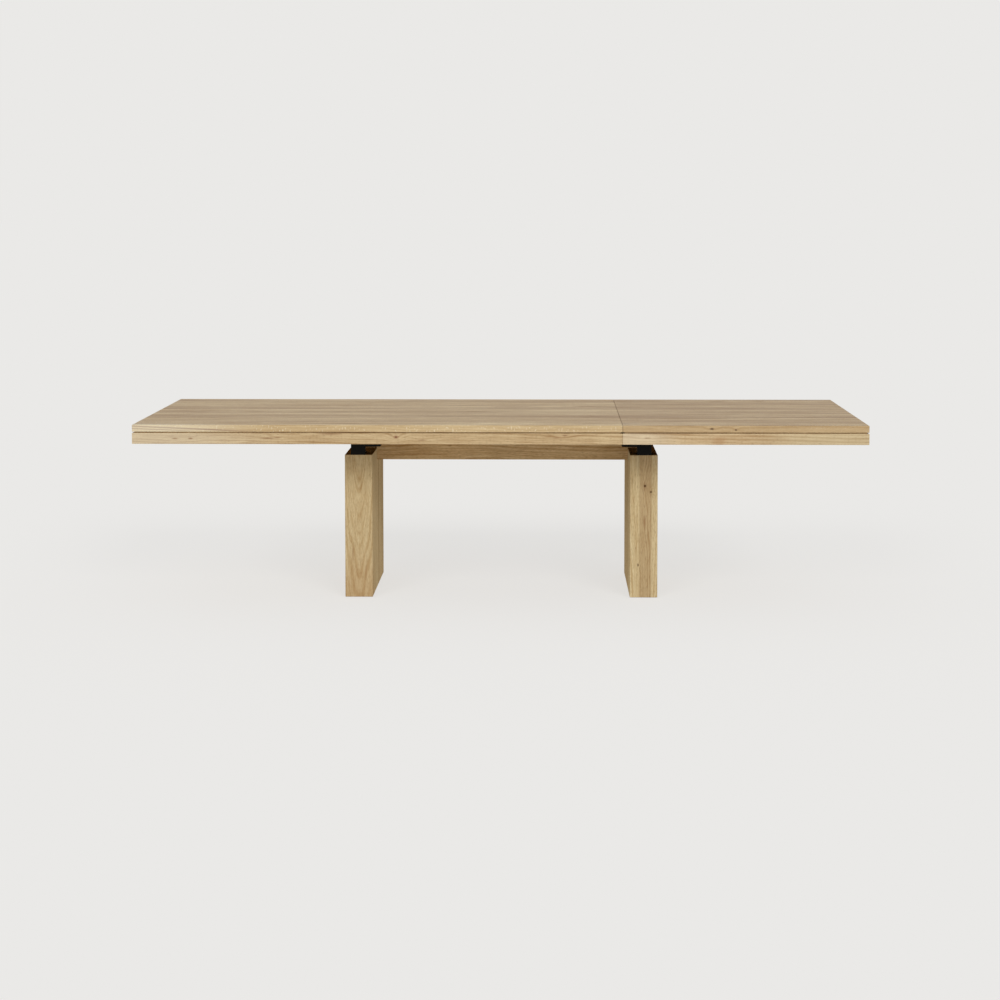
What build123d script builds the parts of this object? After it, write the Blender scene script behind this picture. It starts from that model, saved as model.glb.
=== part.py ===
from build123d import *
import os

# An extendable dining table in oak, on two slab legs and a black steel runner frame.
# Units are millimetres.  +X runs along the table, +Y to its back edge and +Z up.  The origin is
# on the floor under the middle of the table as it stands with its leaf in place.
#
# The sliding top carries an end leaf on its +X side.  Without the leaf, the top slides back
# along +X by half the leaf's length, so that it sits centred over the legs again.

os.makedirs("parts", exist_ok=True)

# ---- Driving dimensions: the whole table ---------------------------------------------------
TABLE_LENGTH = 3000
TABLE_WIDTH = 1000
TABLE_HEIGHT = 760
LEAF_LENGTH = 1000
SEAM_GAP = 1

# ---- Driving dimensions: the layered edge of the top ---------------------------------------
PANEL_THICK = 28
PANEL_ROUND = 1.5
SHADOW_GAP = 5
SHADOW_DEPTH = 8
APRON_HEIGHT = 45
APRON_THICK = 24
APRON_ROUND = 1
BLOCK_SIDE = 36
BLOCK_HEIGHT = 37
BATTEN_PLAY = 0.5

# ---- Driving dimensions: legs and beam -----------------------------------------------------
GLIDE_HEIGHT = 3
GLIDE_RADIUS = 15
GLIDE_INSET = 40
LEG_THICK = 116
LEG_DEPTH = 520
LEG_TOP = 606
LEG_CENTRE_X = 600
LEG_ROUND = 3
BEAM_DEPTH = 60
BEAM_HEIGHT = 94
BEAM_LAP = 58

# ---- Driving dimensions: steel runner frame ------------------------------------------------
SLIDER_PAD = 3
RAIL_WIDTH = 40
RAIL_HEIGHT = 25
RAIL_WALL = 3
RAIL_SLOT = 14
RAIL_LENGTH = 1900
RAIL_CENTRE_Y = 238
TIE_THICK = 5
TIE_WIDTH = 60
TIE_HALF_LENGTH = 250
TIE_BRACKET_X = 542
TIE_END_X = 900
STOP_LENGTH = 12
STOP_PLAY = 1
SLEEVE_CENTRE_Y = 170
SLEEVE_WALL = 2.5
SLEEVE_START_X = -100
SLIDE_GAP = 0.3

# ---- Driving dimensions: leg brackets ------------------------------------------------------
POST_WIDTH = 60
POST_DEPTH = 28
POST_WALL = 3
POST_CENTRE_X = 602
FOOT_DEPTH = 80
FOOT_THICK = 5
HEAD_REACH = 64
HEAD_THICK = 8
BRACKET_BOLT_OFFSET = 19

# ---- Driving dimensions: moving top, leaf and support arms ---------------------------------
BATTEN_WIDTH = 60
SLIDER_LENGTH = 60
SLIDER_STEM = 12
SLIDER_FLANGE = 32
SLIDER_FLANGE_HEIGHT = 8
SLIDER_PLAY = 0.5
SLIDER_PAD_INSET = 2
SLIDER_SCREW_INSET = 12
ARM_START_X = 420
ARM_LENGTH = 1032
BRIDGE_THICK = 20
BRIDGE_HEAD_DEPTH = 6
LEAF_BATTENS_X = (750, 1100, 1400)
LEAF_PAD_LENGTH = 50
LEAF_PAD_WIDTH = 30
DOWEL_RADIUS = 5
DOWEL_LENGTH = 45
DOWEL_PROUD = 20.5
DOWEL_CHAMFER = 1
DOWELS_Y = (-350, 0, 350)
BUSH_RADIUS = 7
BUSH_LENGTH = 22
BUTTON_LENGTH = 46
BUTTON_WIDTH = 18
BUTTON_THICK = 3
BUTTON_CENTRE_Y = 380

# ---- Driving dimensions: fasteners ---------------------------------------------------------
HOLE_EASE = 0.05
PILOT_SPARE = 1
PAIR_HALF_PITCH = 15
WOOD_SCREW_RADIUS = 2.5
WOOD_SCREW_HEAD = 5
BRACKET_SCREW_LENGTH = 40
BRACKET_SCREW_Y = 205
TIE_SCREW_LENGTH = 44
TIE_SCREW_X = 525
SLIDER_SCREW_LENGTH = 40
BUTTON_SCREW_LENGTH = 28
BATTEN_SCREW_LENGTH = 52
LAG_RADIUS = 4
LAG_HEAD = 6.5
LAG_LENGTH = 100
LAG_X = 585
RAIL_BOLT_RADIUS = 4
RAIL_BOLT_HEAD = 6.5
SLEEVE_BOLT_RADIUS = 3
BRIDGE_BOLT_GRIP = 20
BATTEN_SCREWS_Y = (-400, -130, 130, 400)
COUNTERBORE_DEPTH = 15
COUNTERBORE_EASE = 1

# ---- Derived levels, from the floor up -----------------------------------------------------
PANEL_BOTTOM = TABLE_HEIGHT - PANEL_THICK
APRON_TOP = PANEL_BOTTOM - SHADOW_GAP
APRON_BOTTOM = APRON_TOP - APRON_HEIGHT
RAIL_TOP = APRON_BOTTOM - SLIDER_PAD
RAIL_BOTTOM = RAIL_TOP - RAIL_HEIGHT
TIE_BOTTOM = RAIL_BOTTOM - TIE_THICK
BEAM_TOP = TIE_BOTTOM
BEAM_BOTTOM = BEAM_TOP - BEAM_HEIGHT
PANEL_MIDDLE = TABLE_HEIGHT - PANEL_THICK / 2
BATTEN_HEIGHT = PANEL_BOTTOM - APRON_BOTTOM
PANEL_PILOT_DEPTH = COUNTERBORE_DEPTH + BATTEN_SCREW_LENGTH + PILOT_SPARE - BATTEN_HEIGHT

# ---- Derived positions ---------------------------------------------------------------------
END_X = TABLE_LENGTH / 2
SEAM_X = END_X - LEAF_LENGTH
MAIN_X = (-END_X, SEAM_X - SEAM_GAP / 2)
LEAF_X = (SEAM_X + SEAM_GAP / 2, END_X)
HALF_WIDTH = TABLE_WIDTH / 2
LEG_INNER_X = LEG_CENTRE_X - LEG_THICK / 2
RAIL_END_X = RAIL_LENGTH / 2
TOP_TRAVEL = LEAF_LENGTH / 2
SLIDER_LEFT_X = -RAIL_END_X + STOP_LENGTH + STOP_PLAY + SLIDER_LENGTH / 2
SLIDER_RIGHT_X = -SLIDER_LEFT_X - TOP_TRAVEL
MAIN_BATTENS_X = (SLIDER_LEFT_X, (SLIDER_LEFT_X + SLIDER_RIGHT_X) / 2, SLIDER_RIGHT_X)
BATTEN_HALF_LENGTH = HALF_WIDTH - APRON_THICK - BATTEN_PLAY
TIES_X = {
    "left_end": -TIE_END_X,
    "left_leg": -TIE_BRACKET_X,
    "middle": 0,
    "right_leg": TIE_BRACKET_X,
    "right_end": TIE_END_X,
}
BRACKET_BOLT_X = TIE_BRACKET_X + BRACKET_BOLT_OFFSET
RAIL_BOLTS_X = (-TIE_END_X, -BRACKET_BOLT_X, 0, BRACKET_BOLT_X, TIE_END_X)
SLEEVE_BOLTS_X = (0, TIE_BRACKET_X, TIE_END_X)
SLEEVE_HEIGHT = RAIL_HEIGHT
SLEEVE_WIDTH = RAIL_WIDTH
ARM_WIDTH = SLEEVE_WIDTH - 2 * SLEEVE_WALL - 2 * SLIDE_GAP
ARM_HEIGHT = SLEEVE_HEIGHT - 2 * SLEEVE_WALL - 2 * SLIDE_GAP
ARM_BOTTOM = RAIL_BOTTOM + SLEEVE_WALL + SLIDE_GAP
ARM_TOP = ARM_BOTTOM + ARM_HEIGHT
ARM_END_X = ARM_START_X + ARM_LENGTH
LEAF_PAD_HEIGHT = APRON_BOTTOM - ARM_TOP - SLIDE_GAP
BUTTON_PIVOT_X = MAIN_X[1] - APRON_THICK / 2
BUTTON_BOTTOM = APRON_BOTTOM - SLIDE_GAP - BUTTON_THICK
FLANGE_TOP = RAIL_TOP - RAIL_WALL - SLIDER_PLAY
FLANGE_BOTTOM = FLANGE_TOP - SLIDER_FLANGE_HEIGHT
SLIDER_SCREW_SEAT = FLANGE_BOTTOM + WOOD_SCREW_RADIUS + PILOT_SPARE
BUTTON_SCREW_SEAT = BUTTON_BOTTOM - SLIDE_GAP
WAY = {"left": -1, "right": 1, "front": -1, "back": 1}
PAIR = (-PAIR_HALF_PITCH, PAIR_HALF_PITCH)
LAGS = [(x, y) for x in (-LAG_X, LAG_X) for y in PAIR]
TIE_SCREWS = [(x, y) for x in (-TIE_SCREW_X, 0, TIE_SCREW_X) for y in PAIR]
BRACKET_SCREWS_X = [side * (POST_CENTRE_X + step) for side in (-1, 1) for step in PAIR]
BRACKET_SCREWS = [(x, y) for x in BRACKET_SCREWS_X for y in (-BRACKET_SCREW_Y, BRACKET_SCREW_Y)]
SLIDER_SCREW_X = SLIDER_LENGTH / 2 - SLIDER_SCREW_INSET
SLIDER_SCREWS_X = [x + step for x in MAIN_BATTENS_X for step in (-SLIDER_SCREW_X, SLIDER_SCREW_X)]
SLIDER_SCREWS = [(x, y) for x in SLIDER_SCREWS_X for y in (-RAIL_CENTRE_Y, RAIL_CENTRE_Y)]
BUTTON_SCREWS = [(BUTTON_PIVOT_X, -BUTTON_CENTRE_Y), (BUTTON_PIVOT_X, BUTTON_CENTRE_Y)]


# ---- Legs, floor glides and beam -----------------------------------------------------------
def make_leg(label, side):
    """A slab leg, with pilot holes in its top for the bracket screws and the beam's lag screws."""
    with BuildPart() as leg:
        with BuildSketch(Plane.XY.offset(GLIDE_HEIGHT)):
            with Locations((side * LEG_CENTRE_X, 0)):
                RectangleRounded(LEG_THICK, LEG_DEPTH, LEG_ROUND)
        extrude(amount=LEG_TOP - GLIDE_HEIGHT)
        fillet(leg.faces().sort_by(Axis.Z)[-1].edges(), LEG_ROUND / 2)
        chamfer(leg.faces().sort_by(Axis.Z)[0].edges(), LEG_ROUND / 2)
        with BuildSketch(Plane.XY.offset(LEG_TOP)):
            with Locations([(x, y) for x, y in BRACKET_SCREWS if x * side > 0]):
                Circle(WOOD_SCREW_RADIUS + HOLE_EASE)
        extrude(amount=-(BRACKET_SCREW_LENGTH - FOOT_THICK + PILOT_SPARE), mode=Mode.SUBTRACT)
        with BuildSketch(Plane.XY.offset(LEG_TOP)):
            with Locations([(x, y) for x, y in LAGS if x * side > 0]):
                Circle(LAG_RADIUS + HOLE_EASE)
        extrude(amount=-(LAG_LENGTH - BEAM_TOP + LEG_TOP + PILOT_SPARE), mode=Mode.SUBTRACT)
    leg.part.label = label
    export_step(leg.part, f"parts/{label}.step")


make_leg("leg_left", WAY["left"])
make_leg("leg_right", WAY["right"])

with BuildPart() as floor_glides:
    with BuildSketch():
        with GridLocations(2 * LEG_CENTRE_X, LEG_DEPTH - 2 * GLIDE_INSET, 2, 2):
            Circle(GLIDE_RADIUS)
    extrude(amount=GLIDE_HEIGHT)
floor_glides.part.label = "floor_glides"
export_step(floor_glides.part, "parts/floor_glides.step")

with BuildPart() as beam:
    with BuildSketch(Plane.XZ.offset(-BEAM_DEPTH / 2)):
        with Locations((0, (BEAM_TOP + BEAM_BOTTOM) / 2)):
            Rectangle(2 * LEG_INNER_X, BEAM_HEIGHT)
        with Locations((0, (BEAM_TOP + LEG_TOP) / 2)):
            Rectangle(2 * (LEG_INNER_X + BEAM_LAP), BEAM_TOP - LEG_TOP)
    extrude(amount=BEAM_DEPTH)
    with BuildSketch(Plane.XY.offset(BEAM_TOP)):
        with Locations(LAGS):
            Circle(LAG_RADIUS + HOLE_EASE)
    extrude(amount=-(BEAM_TOP - LEG_TOP), mode=Mode.SUBTRACT)
    with BuildSketch(Plane.XY.offset(BEAM_TOP)):
        with Locations(TIE_SCREWS):
            Circle(WOOD_SCREW_RADIUS + HOLE_EASE)
    extrude(amount=-(TIE_SCREW_LENGTH - TIE_THICK + PILOT_SPARE), mode=Mode.SUBTRACT)
beam.part.label = "beam"
export_step(beam.part, "parts/beam.step")

with BuildPart() as beam_lag_screws:
    with BuildSketch(Plane.XY.offset(BEAM_TOP)):
        with Locations(LAGS):
            Circle(LAG_RADIUS)
    extrude(amount=-LAG_LENGTH)
    with BuildSketch(Plane.XY.offset(BEAM_TOP)):
        with Locations(LAGS):
            RegularPolygon(LAG_HEAD, 6)
    extrude(amount=LAG_RADIUS)
beam_lag_screws.part.label = "beam_lag_screws"
export_step(beam_lag_screws.part, "parts/beam_lag_screws.step")


# ---- Brackets between the legs and the runner frame ----------------------------------------
def make_bracket(label, side, end):
    """A welded bracket: a foot plate on the leg, a box-section post and a head plate that
    reaches towards the table's middle to take the rail bolt."""
    foot_y = end * (LEG_DEPTH / 2 - FOOT_DEPTH / 2)
    post_y = end * (LEG_DEPTH / 2 - POST_DEPTH / 2)
    with BuildPart() as bracket:
        with BuildSketch(Plane.XY.offset(LEG_TOP)):
            with Locations((side * POST_CENTRE_X, foot_y)):
                Rectangle(POST_WIDTH, FOOT_DEPTH)
            with Locations([(x, y) for x, y in BRACKET_SCREWS if x * side > 0 and y * end > 0]):
                Circle(WOOD_SCREW_RADIUS + HOLE_EASE, mode=Mode.SUBTRACT)
        extrude(amount=FOOT_THICK)
        with BuildSketch(Plane.XY.offset(LEG_TOP + FOOT_THICK)):
            with Locations((side * POST_CENTRE_X, post_y)):
                Rectangle(POST_WIDTH, POST_DEPTH)
                Rectangle(POST_WIDTH - 2 * POST_WALL, POST_DEPTH - 2 * POST_WALL, mode=Mode.SUBTRACT)
        extrude(amount=TIE_BOTTOM - HEAD_THICK - LEG_TOP - FOOT_THICK)
        with BuildSketch(Plane.XY.offset(TIE_BOTTOM - HEAD_THICK)):
            with Locations((side * (POST_CENTRE_X - HEAD_REACH / 2), foot_y)):
                Rectangle(POST_WIDTH + HEAD_REACH, FOOT_DEPTH)
            with Locations((side * BRACKET_BOLT_X, end * RAIL_CENTRE_Y)):
                Circle(RAIL_BOLT_RADIUS + HOLE_EASE, mode=Mode.SUBTRACT)
        extrude(amount=HEAD_THICK)
    bracket.part.label = label
    export_step(bracket.part, f"parts/{label}.step")


for side_name in ("left", "right"):
    for end_name in ("front", "back"):
        make_bracket(f"bracket_{side_name}_{end_name}", WAY[side_name], WAY[end_name])


def make_wood_screws(label, places, seat, length, head_up=True):
    """Screws with cheese heads, which run down from the seat if the head is up, and else up."""
    way = -1 if head_up else 1
    with BuildPart() as screws:
        with BuildSketch(Plane.XY.offset(seat)):
            with Locations(places):
                Circle(WOOD_SCREW_RADIUS)
        extrude(amount=way * length)
        with BuildSketch(Plane.XY.offset(seat)):
            with Locations(places):
                Circle(WOOD_SCREW_HEAD)
        extrude(amount=-way * WOOD_SCREW_RADIUS)
    screws.part.label = label
    export_step(screws.part, f"parts/{label}.step")


make_wood_screws("bracket_screws", BRACKET_SCREWS, LEG_TOP + FOOT_THICK, BRACKET_SCREW_LENGTH)


# ---- Runner frame: cross ties, rails and arm sleeves ---------------------------------------
def make_tie(label, centre_x):
    """A flat cross tie that joins the two rails, drilled for every fastener that crosses it."""
    rail_bolts = [(x, y) for x in RAIL_BOLTS_X for y in (-RAIL_CENTRE_Y, RAIL_CENTRE_Y)]
    sleeve_bolts = [(x, y) for x in SLEEVE_BOLTS_X for y in (-SLEEVE_CENTRE_Y, SLEEVE_CENTRE_Y)]
    holes = [(x, y, RAIL_BOLT_RADIUS) for x, y in rail_bolts]
    holes += [(x, y, SLEEVE_BOLT_RADIUS) for x, y in sleeve_bolts]
    holes += [(x, y, WOOD_SCREW_RADIUS) for x, y in TIE_SCREWS]
    with BuildPart() as tie:
        with BuildSketch(Plane.XY.offset(TIE_BOTTOM)):
            with Locations((centre_x, 0)):
                Rectangle(TIE_WIDTH, 2 * TIE_HALF_LENGTH)
            for x, y, radius in holes:
                if abs(x - centre_x) < TIE_WIDTH / 2:
                    with Locations((x, y)):
                        Circle(radius + HOLE_EASE, mode=Mode.SUBTRACT)
        extrude(amount=TIE_THICK)
    tie.part.label = label
    export_step(tie.part, f"parts/{label}.step")


for tie_name, tie_x in TIES_X.items():
    make_tie(f"cross_tie_{tie_name}", tie_x)

make_wood_screws("tie_screws", TIE_SCREWS, RAIL_BOTTOM, TIE_SCREW_LENGTH)


def make_rail(label, end):
    """A steel C-section rail with its slot upwards."""
    with BuildPart() as rail:
        with BuildSketch(Plane.YZ.offset(-RAIL_END_X)):
            with Locations((end * RAIL_CENTRE_Y, (RAIL_TOP + RAIL_BOTTOM) / 2)):
                Rectangle(RAIL_WIDTH, RAIL_HEIGHT)
                Rectangle(RAIL_WIDTH - 2 * RAIL_WALL, RAIL_HEIGHT - 2 * RAIL_WALL, mode=Mode.SUBTRACT)
            with Locations((end * RAIL_CENTRE_Y, RAIL_TOP - RAIL_WALL / 2)):
                Rectangle(RAIL_SLOT, RAIL_WALL, mode=Mode.SUBTRACT)
        extrude(amount=RAIL_LENGTH)
        with BuildSketch(Plane.XY.offset(RAIL_BOTTOM)):
            with Locations([(x, end * RAIL_CENTRE_Y) for x in RAIL_BOLTS_X]):
                Circle(RAIL_BOLT_RADIUS + HOLE_EASE)
        extrude(amount=RAIL_WALL, mode=Mode.SUBTRACT)
    rail.part.label = label
    export_step(rail.part, f"parts/{label}.step")


make_rail("rail_front", WAY["front"])
make_rail("rail_back", WAY["back"])

# The heads pass the rail's slot and lie in its channel; ties and head plates are tapped.
with BuildPart() as rail_bolts:
    for bolt_x in RAIL_BOLTS_X:
        tapped = TIE_THICK + HEAD_THICK if abs(bolt_x) == BRACKET_BOLT_X else TIE_THICK
        with BuildSketch(Plane.XY.offset(RAIL_BOTTOM + RAIL_WALL)):
            with Locations((bolt_x, -RAIL_CENTRE_Y), (bolt_x, RAIL_CENTRE_Y)):
                Circle(RAIL_BOLT_RADIUS)
        extrude(amount=-(RAIL_WALL + tapped))
        with BuildSketch(Plane.XY.offset(RAIL_BOTTOM + RAIL_WALL)):
            with Locations((bolt_x, -RAIL_CENTRE_Y), (bolt_x, RAIL_CENTRE_Y)):
                Circle(RAIL_BOLT_HEAD)
        extrude(amount=RAIL_BOLT_RADIUS)
rail_bolts.part.label = "rail_bolts"
export_step(rail_bolts.part, "parts/rail_bolts.step")

with BuildPart() as rail_end_stops:
    stop_trim = 2 * (RAIL_WALL + HOLE_EASE)
    with BuildSketch(Plane.YZ.offset(-RAIL_END_X)):
        with Locations([(y, (RAIL_TOP + RAIL_BOTTOM) / 2) for y in (-RAIL_CENTRE_Y, RAIL_CENTRE_Y)]):
            Rectangle(RAIL_WIDTH - stop_trim, RAIL_HEIGHT - stop_trim)
    extrude(amount=STOP_LENGTH)
    mirror(about=Plane.YZ)
rail_end_stops.part.label = "rail_end_stops"
export_step(rail_end_stops.part, "parts/rail_end_stops.step")


def make_sleeve(label, end):
    """A rectangular steel tube in which a support arm slides."""
    bore = 2 * SLEEVE_WALL
    with BuildPart() as sleeve:
        with BuildSketch(Plane.YZ.offset(SLEEVE_START_X)):
            with Locations((end * SLEEVE_CENTRE_Y, RAIL_BOTTOM + SLEEVE_HEIGHT / 2)):
                Rectangle(SLEEVE_WIDTH, SLEEVE_HEIGHT)
                Rectangle(SLEEVE_WIDTH - bore, SLEEVE_HEIGHT - bore, mode=Mode.SUBTRACT)
        extrude(amount=RAIL_END_X - SLEEVE_START_X)
        with BuildSketch(Plane.XY.offset(RAIL_BOTTOM)):
            with Locations([(x, end * SLEEVE_CENTRE_Y) for x in SLEEVE_BOLTS_X]):
                Circle(SLEEVE_BOLT_RADIUS + HOLE_EASE)
        extrude(amount=SLEEVE_WALL, mode=Mode.SUBTRACT)
    sleeve.part.label = label
    export_step(sleeve.part, f"parts/{label}.step")


make_sleeve("arm_sleeve_front", WAY["front"])
make_sleeve("arm_sleeve_back", WAY["back"])

with BuildPart() as sleeve_bolts:
    sleeve_bolt_places = [(x, y) for x in SLEEVE_BOLTS_X for y in (-SLEEVE_CENTRE_Y, SLEEVE_CENTRE_Y)]
    with BuildSketch(Plane.XY.offset(TIE_BOTTOM)):
        with Locations(sleeve_bolt_places):
            Circle(SLEEVE_BOLT_RADIUS)
    extrude(amount=TIE_THICK + SLEEVE_WALL)
    with BuildSketch(Plane.XY.offset(TIE_BOTTOM)):
        with Locations(sleeve_bolt_places):
            RegularPolygon(2 * SLEEVE_BOLT_RADIUS, 6)
    extrude(amount=-SLEEVE_BOLT_RADIUS)
sleeve_bolts.part.label = "sleeve_bolts"
export_step(sleeve_bolts.part, "parts/sleeve_bolts.step")


# ---- The layered top: shared by the sliding top and the leaf -------------------------------
def mitre_corners(span, side, depth):
    """The corners of one side of a mitred frame that is depth wide."""
    x0, x1 = span
    y1 = HALF_WIDTH
    corners = {
        "front": [(x0, -y1), (x1, -y1), (x1 - depth, depth - y1), (x0 + depth, depth - y1)],
        "back": [(x1, y1), (x0, y1), (x0 + depth, y1 - depth), (x1 - depth, y1 - depth)],
        "left": [(x0, y1), (x0, -y1), (x0 + depth, depth - y1), (x0 + depth, y1 - depth)],
        "right": [(x1, -y1), (x1, y1), (x1 - depth, y1 - depth), (x1 - depth, depth - y1)],
    }
    return corners[side]


def make_apron(label, span, side, button_holes=False):
    """One mitred apron board, drilled below for the turn buttons' screws when it carries them."""
    with BuildPart() as apron:
        with BuildSketch(Plane.XY.offset(APRON_BOTTOM)):
            Polygon(*mitre_corners(span, side, APRON_THICK), align=None)
        extrude(amount=APRON_HEIGHT)
        if side in ("front", "back"):
            outer_face = apron.faces().sort_by(Axis.Y)[0 if side == "front" else -1]
        else:
            outer_face = apron.faces().sort_by(Axis.X)[0 if side == "left" else -1]
        chamfer(outer_face.edges().filter_by(Axis.Z, reverse=True), APRON_ROUND)
        if button_holes:
            with BuildSketch(Plane.XY.offset(APRON_BOTTOM)):
                with Locations(BUTTON_SCREWS):
                    Circle(WOOD_SCREW_RADIUS + HOLE_EASE)
            pilot_top = BUTTON_SCREW_SEAT + BUTTON_SCREW_LENGTH + PILOT_SPARE
            extrude(amount=pilot_top - APRON_BOTTOM, mode=Mode.SUBTRACT)
    apron.part.label = label
    export_step(apron.part, f"parts/{label}.step")


def make_spacer(label, span):
    """The four set-back strips that form the shadow line between panel and aprons."""
    strip = APRON_THICK - SHADOW_DEPTH
    length = span[1] - span[0] - 2 * SHADOW_DEPTH
    width = TABLE_WIDTH - 2 * SHADOW_DEPTH
    with BuildPart() as spacer:
        with BuildSketch(Plane.XY.offset(APRON_TOP)):
            with Locations(((span[0] + span[1]) / 2, 0)):
                with GridLocations(0, width - strip, 1, 2):
                    Rectangle(length, strip)
                with GridLocations(length - strip, 0, 2, 1):
                    Rectangle(strip, width - 2 * strip - 2 * HOLE_EASE)
        extrude(amount=SHADOW_GAP)
    spacer.part.label = label
    export_step(spacer.part, f"parts/{label}.step")


def make_corner_blocks(label, span):
    """Four glued triangular blocks, one behind each mitre of the aprons."""
    x0, x1 = span[0] + APRON_THICK, span[1] - APRON_THICK
    y1 = HALF_WIDTH - APRON_THICK
    with BuildPart() as corner_blocks:
        with BuildSketch(Plane.XY.offset(APRON_TOP - BLOCK_HEIGHT)):
            for x, way_x in ((x0, 1), (x1, -1)):
                for y, way_y in ((-y1, 1), (y1, -1)):
                    Polygon((x, y), (x + way_x * BLOCK_SIDE, y), (x, y + way_y * BLOCK_SIDE), align=None)
        extrude(amount=BLOCK_HEIGHT)
    corner_blocks.part.label = label
    export_step(corner_blocks.part, f"parts/{label}.step")


def make_batten(label, centre_x, slider_holes):
    """A cross batten under the panel, counterbored below for the screws into the panel."""
    with BuildPart() as batten:
        with BuildSketch(Plane.XY.offset(APRON_BOTTOM)):
            with Locations((centre_x, 0)):
                Rectangle(BATTEN_WIDTH, 2 * BATTEN_HALF_LENGTH)
        extrude(amount=BATTEN_HEIGHT)
        with BuildSketch(Plane.XY.offset(APRON_BOTTOM)):
            with Locations([(centre_x, y) for y in BATTEN_SCREWS_Y]):
                Circle(WOOD_SCREW_RADIUS + HOLE_EASE)
        extrude(amount=BATTEN_HEIGHT, mode=Mode.SUBTRACT)
        with BuildSketch(Plane.XY.offset(APRON_BOTTOM)):
            with Locations([(centre_x, y) for y in BATTEN_SCREWS_Y]):
                Circle(WOOD_SCREW_HEAD + COUNTERBORE_EASE)
        extrude(amount=COUNTERBORE_DEPTH, mode=Mode.SUBTRACT)
        if slider_holes:
            with BuildSketch(Plane.XY.offset(APRON_BOTTOM)):
                with Locations((centre_x, 0)):
                    with GridLocations(SLIDER_LENGTH - 2 * SLIDER_SCREW_INSET, 2 * RAIL_CENTRE_Y, 2, 2):
                        Circle(WOOD_SCREW_RADIUS + HOLE_EASE)
            pilot_top = SLIDER_SCREW_SEAT + SLIDER_SCREW_LENGTH + PILOT_SPARE
            extrude(amount=pilot_top - APRON_BOTTOM, mode=Mode.SUBTRACT)
    batten.part.label = label
    export_step(batten.part, f"parts/{label}.step")


def make_batten_screws(label, battens_x):
    """The screws that hold every batten of one panel."""
    places = [(x, y) for x in battens_x for y in BATTEN_SCREWS_Y]
    make_wood_screws(label, places, APRON_BOTTOM + COUNTERBORE_DEPTH, BATTEN_SCREW_LENGTH, head_up=False)


def make_panel(label, span, battens_x, bore_face_x, bore_radius, bore_depth):
    """A solid panel with eased edges, pilot holes below and bores in its seam edge."""
    with BuildPart() as panel:
        with BuildSketch(Plane.XY.offset(PANEL_BOTTOM)):
            with Locations(((span[0] + span[1]) / 2, 0)):
                Rectangle(span[1] - span[0], TABLE_WIDTH)
        extrude(amount=PANEL_THICK)
        fillet(panel.edges(), PANEL_ROUND)
        with BuildSketch(Plane.XY.offset(PANEL_BOTTOM)):
            with Locations([(x, y) for x in battens_x for y in BATTEN_SCREWS_Y]):
                Circle(WOOD_SCREW_RADIUS + HOLE_EASE)
        extrude(amount=PANEL_PILOT_DEPTH, mode=Mode.SUBTRACT)
        with BuildSketch(Plane.YZ.offset(bore_face_x)):
            with Locations([(y, PANEL_MIDDLE) for y in DOWELS_Y]):
                Circle(bore_radius)
        extrude(amount=bore_depth, mode=Mode.SUBTRACT)
    panel.part.label = label
    export_step(panel.part, f"parts/{label}.step")


# ---- Sliding main top ----------------------------------------------------------------------
BUSH_BORE = -(BUSH_LENGTH + PILOT_SPARE)
make_panel("main_panel", MAIN_X, MAIN_BATTENS_X, MAIN_X[1], BUSH_RADIUS + HOLE_EASE, BUSH_BORE)
make_spacer("main_spacer", MAIN_X)
make_apron("main_apron_front", MAIN_X, "front")
make_apron("main_apron_back", MAIN_X, "back")
make_apron("main_apron_end", MAIN_X, "left")
make_apron("main_apron_seam", MAIN_X, "right", button_holes=True)
make_corner_blocks("main_corner_blocks", MAIN_X)
for number, batten_x in enumerate(MAIN_BATTENS_X, start=1):
    make_batten(f"main_batten_{number}", batten_x, slider_holes=True)
make_batten_screws("main_batten_screws", MAIN_BATTENS_X)

with BuildPart() as locator_bushes:
    with BuildSketch(Plane.YZ.offset(MAIN_X[1])):
        with Locations([(y, PANEL_MIDDLE) for y in DOWELS_Y]):
            Circle(BUSH_RADIUS)
            Circle(DOWEL_RADIUS + SLIDE_GAP, mode=Mode.SUBTRACT)
    extrude(amount=-BUSH_LENGTH)
locator_bushes.part.label = "locator_bushes"
export_step(locator_bushes.part, "parts/locator_bushes.step")


def make_sliders(label, end):
    """Three nylon sliders: a pad on the rail's lips, a stem in its slot and a flange below."""
    rail_y = end * RAIL_CENTRE_Y
    screws = [(x, y) for x, y in SLIDER_SCREWS if y == rail_y]
    with BuildPart() as sliders:
        for x in MAIN_BATTENS_X:
            with BuildSketch(Plane.YZ.offset(x - SLIDER_LENGTH / 2)):
                with Locations((rail_y, RAIL_TOP + SLIDER_PAD / 2)):
                    Rectangle(RAIL_WIDTH - 2 * SLIDER_PAD_INSET, SLIDER_PAD)
                with Locations((rail_y, (RAIL_TOP + FLANGE_TOP) / 2)):
                    Rectangle(SLIDER_STEM, RAIL_TOP - FLANGE_TOP)
                with Locations((rail_y, (FLANGE_TOP + FLANGE_BOTTOM) / 2)):
                    Rectangle(SLIDER_FLANGE, SLIDER_FLANGE_HEIGHT)
            extrude(amount=SLIDER_LENGTH)
        with BuildSketch(Plane.XY.offset(FLANGE_BOTTOM)):
            with Locations(screws):
                Circle(WOOD_SCREW_RADIUS + HOLE_EASE)
        extrude(amount=APRON_BOTTOM - FLANGE_BOTTOM, mode=Mode.SUBTRACT)
        with BuildSketch(Plane.XY.offset(FLANGE_BOTTOM)):
            with Locations(screws):
                Circle(WOOD_SCREW_HEAD + HOLE_EASE)
        extrude(amount=SLIDER_SCREW_SEAT - FLANGE_BOTTOM, mode=Mode.SUBTRACT)
    sliders.part.label = label
    export_step(sliders.part, f"parts/{label}.step")


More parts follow.
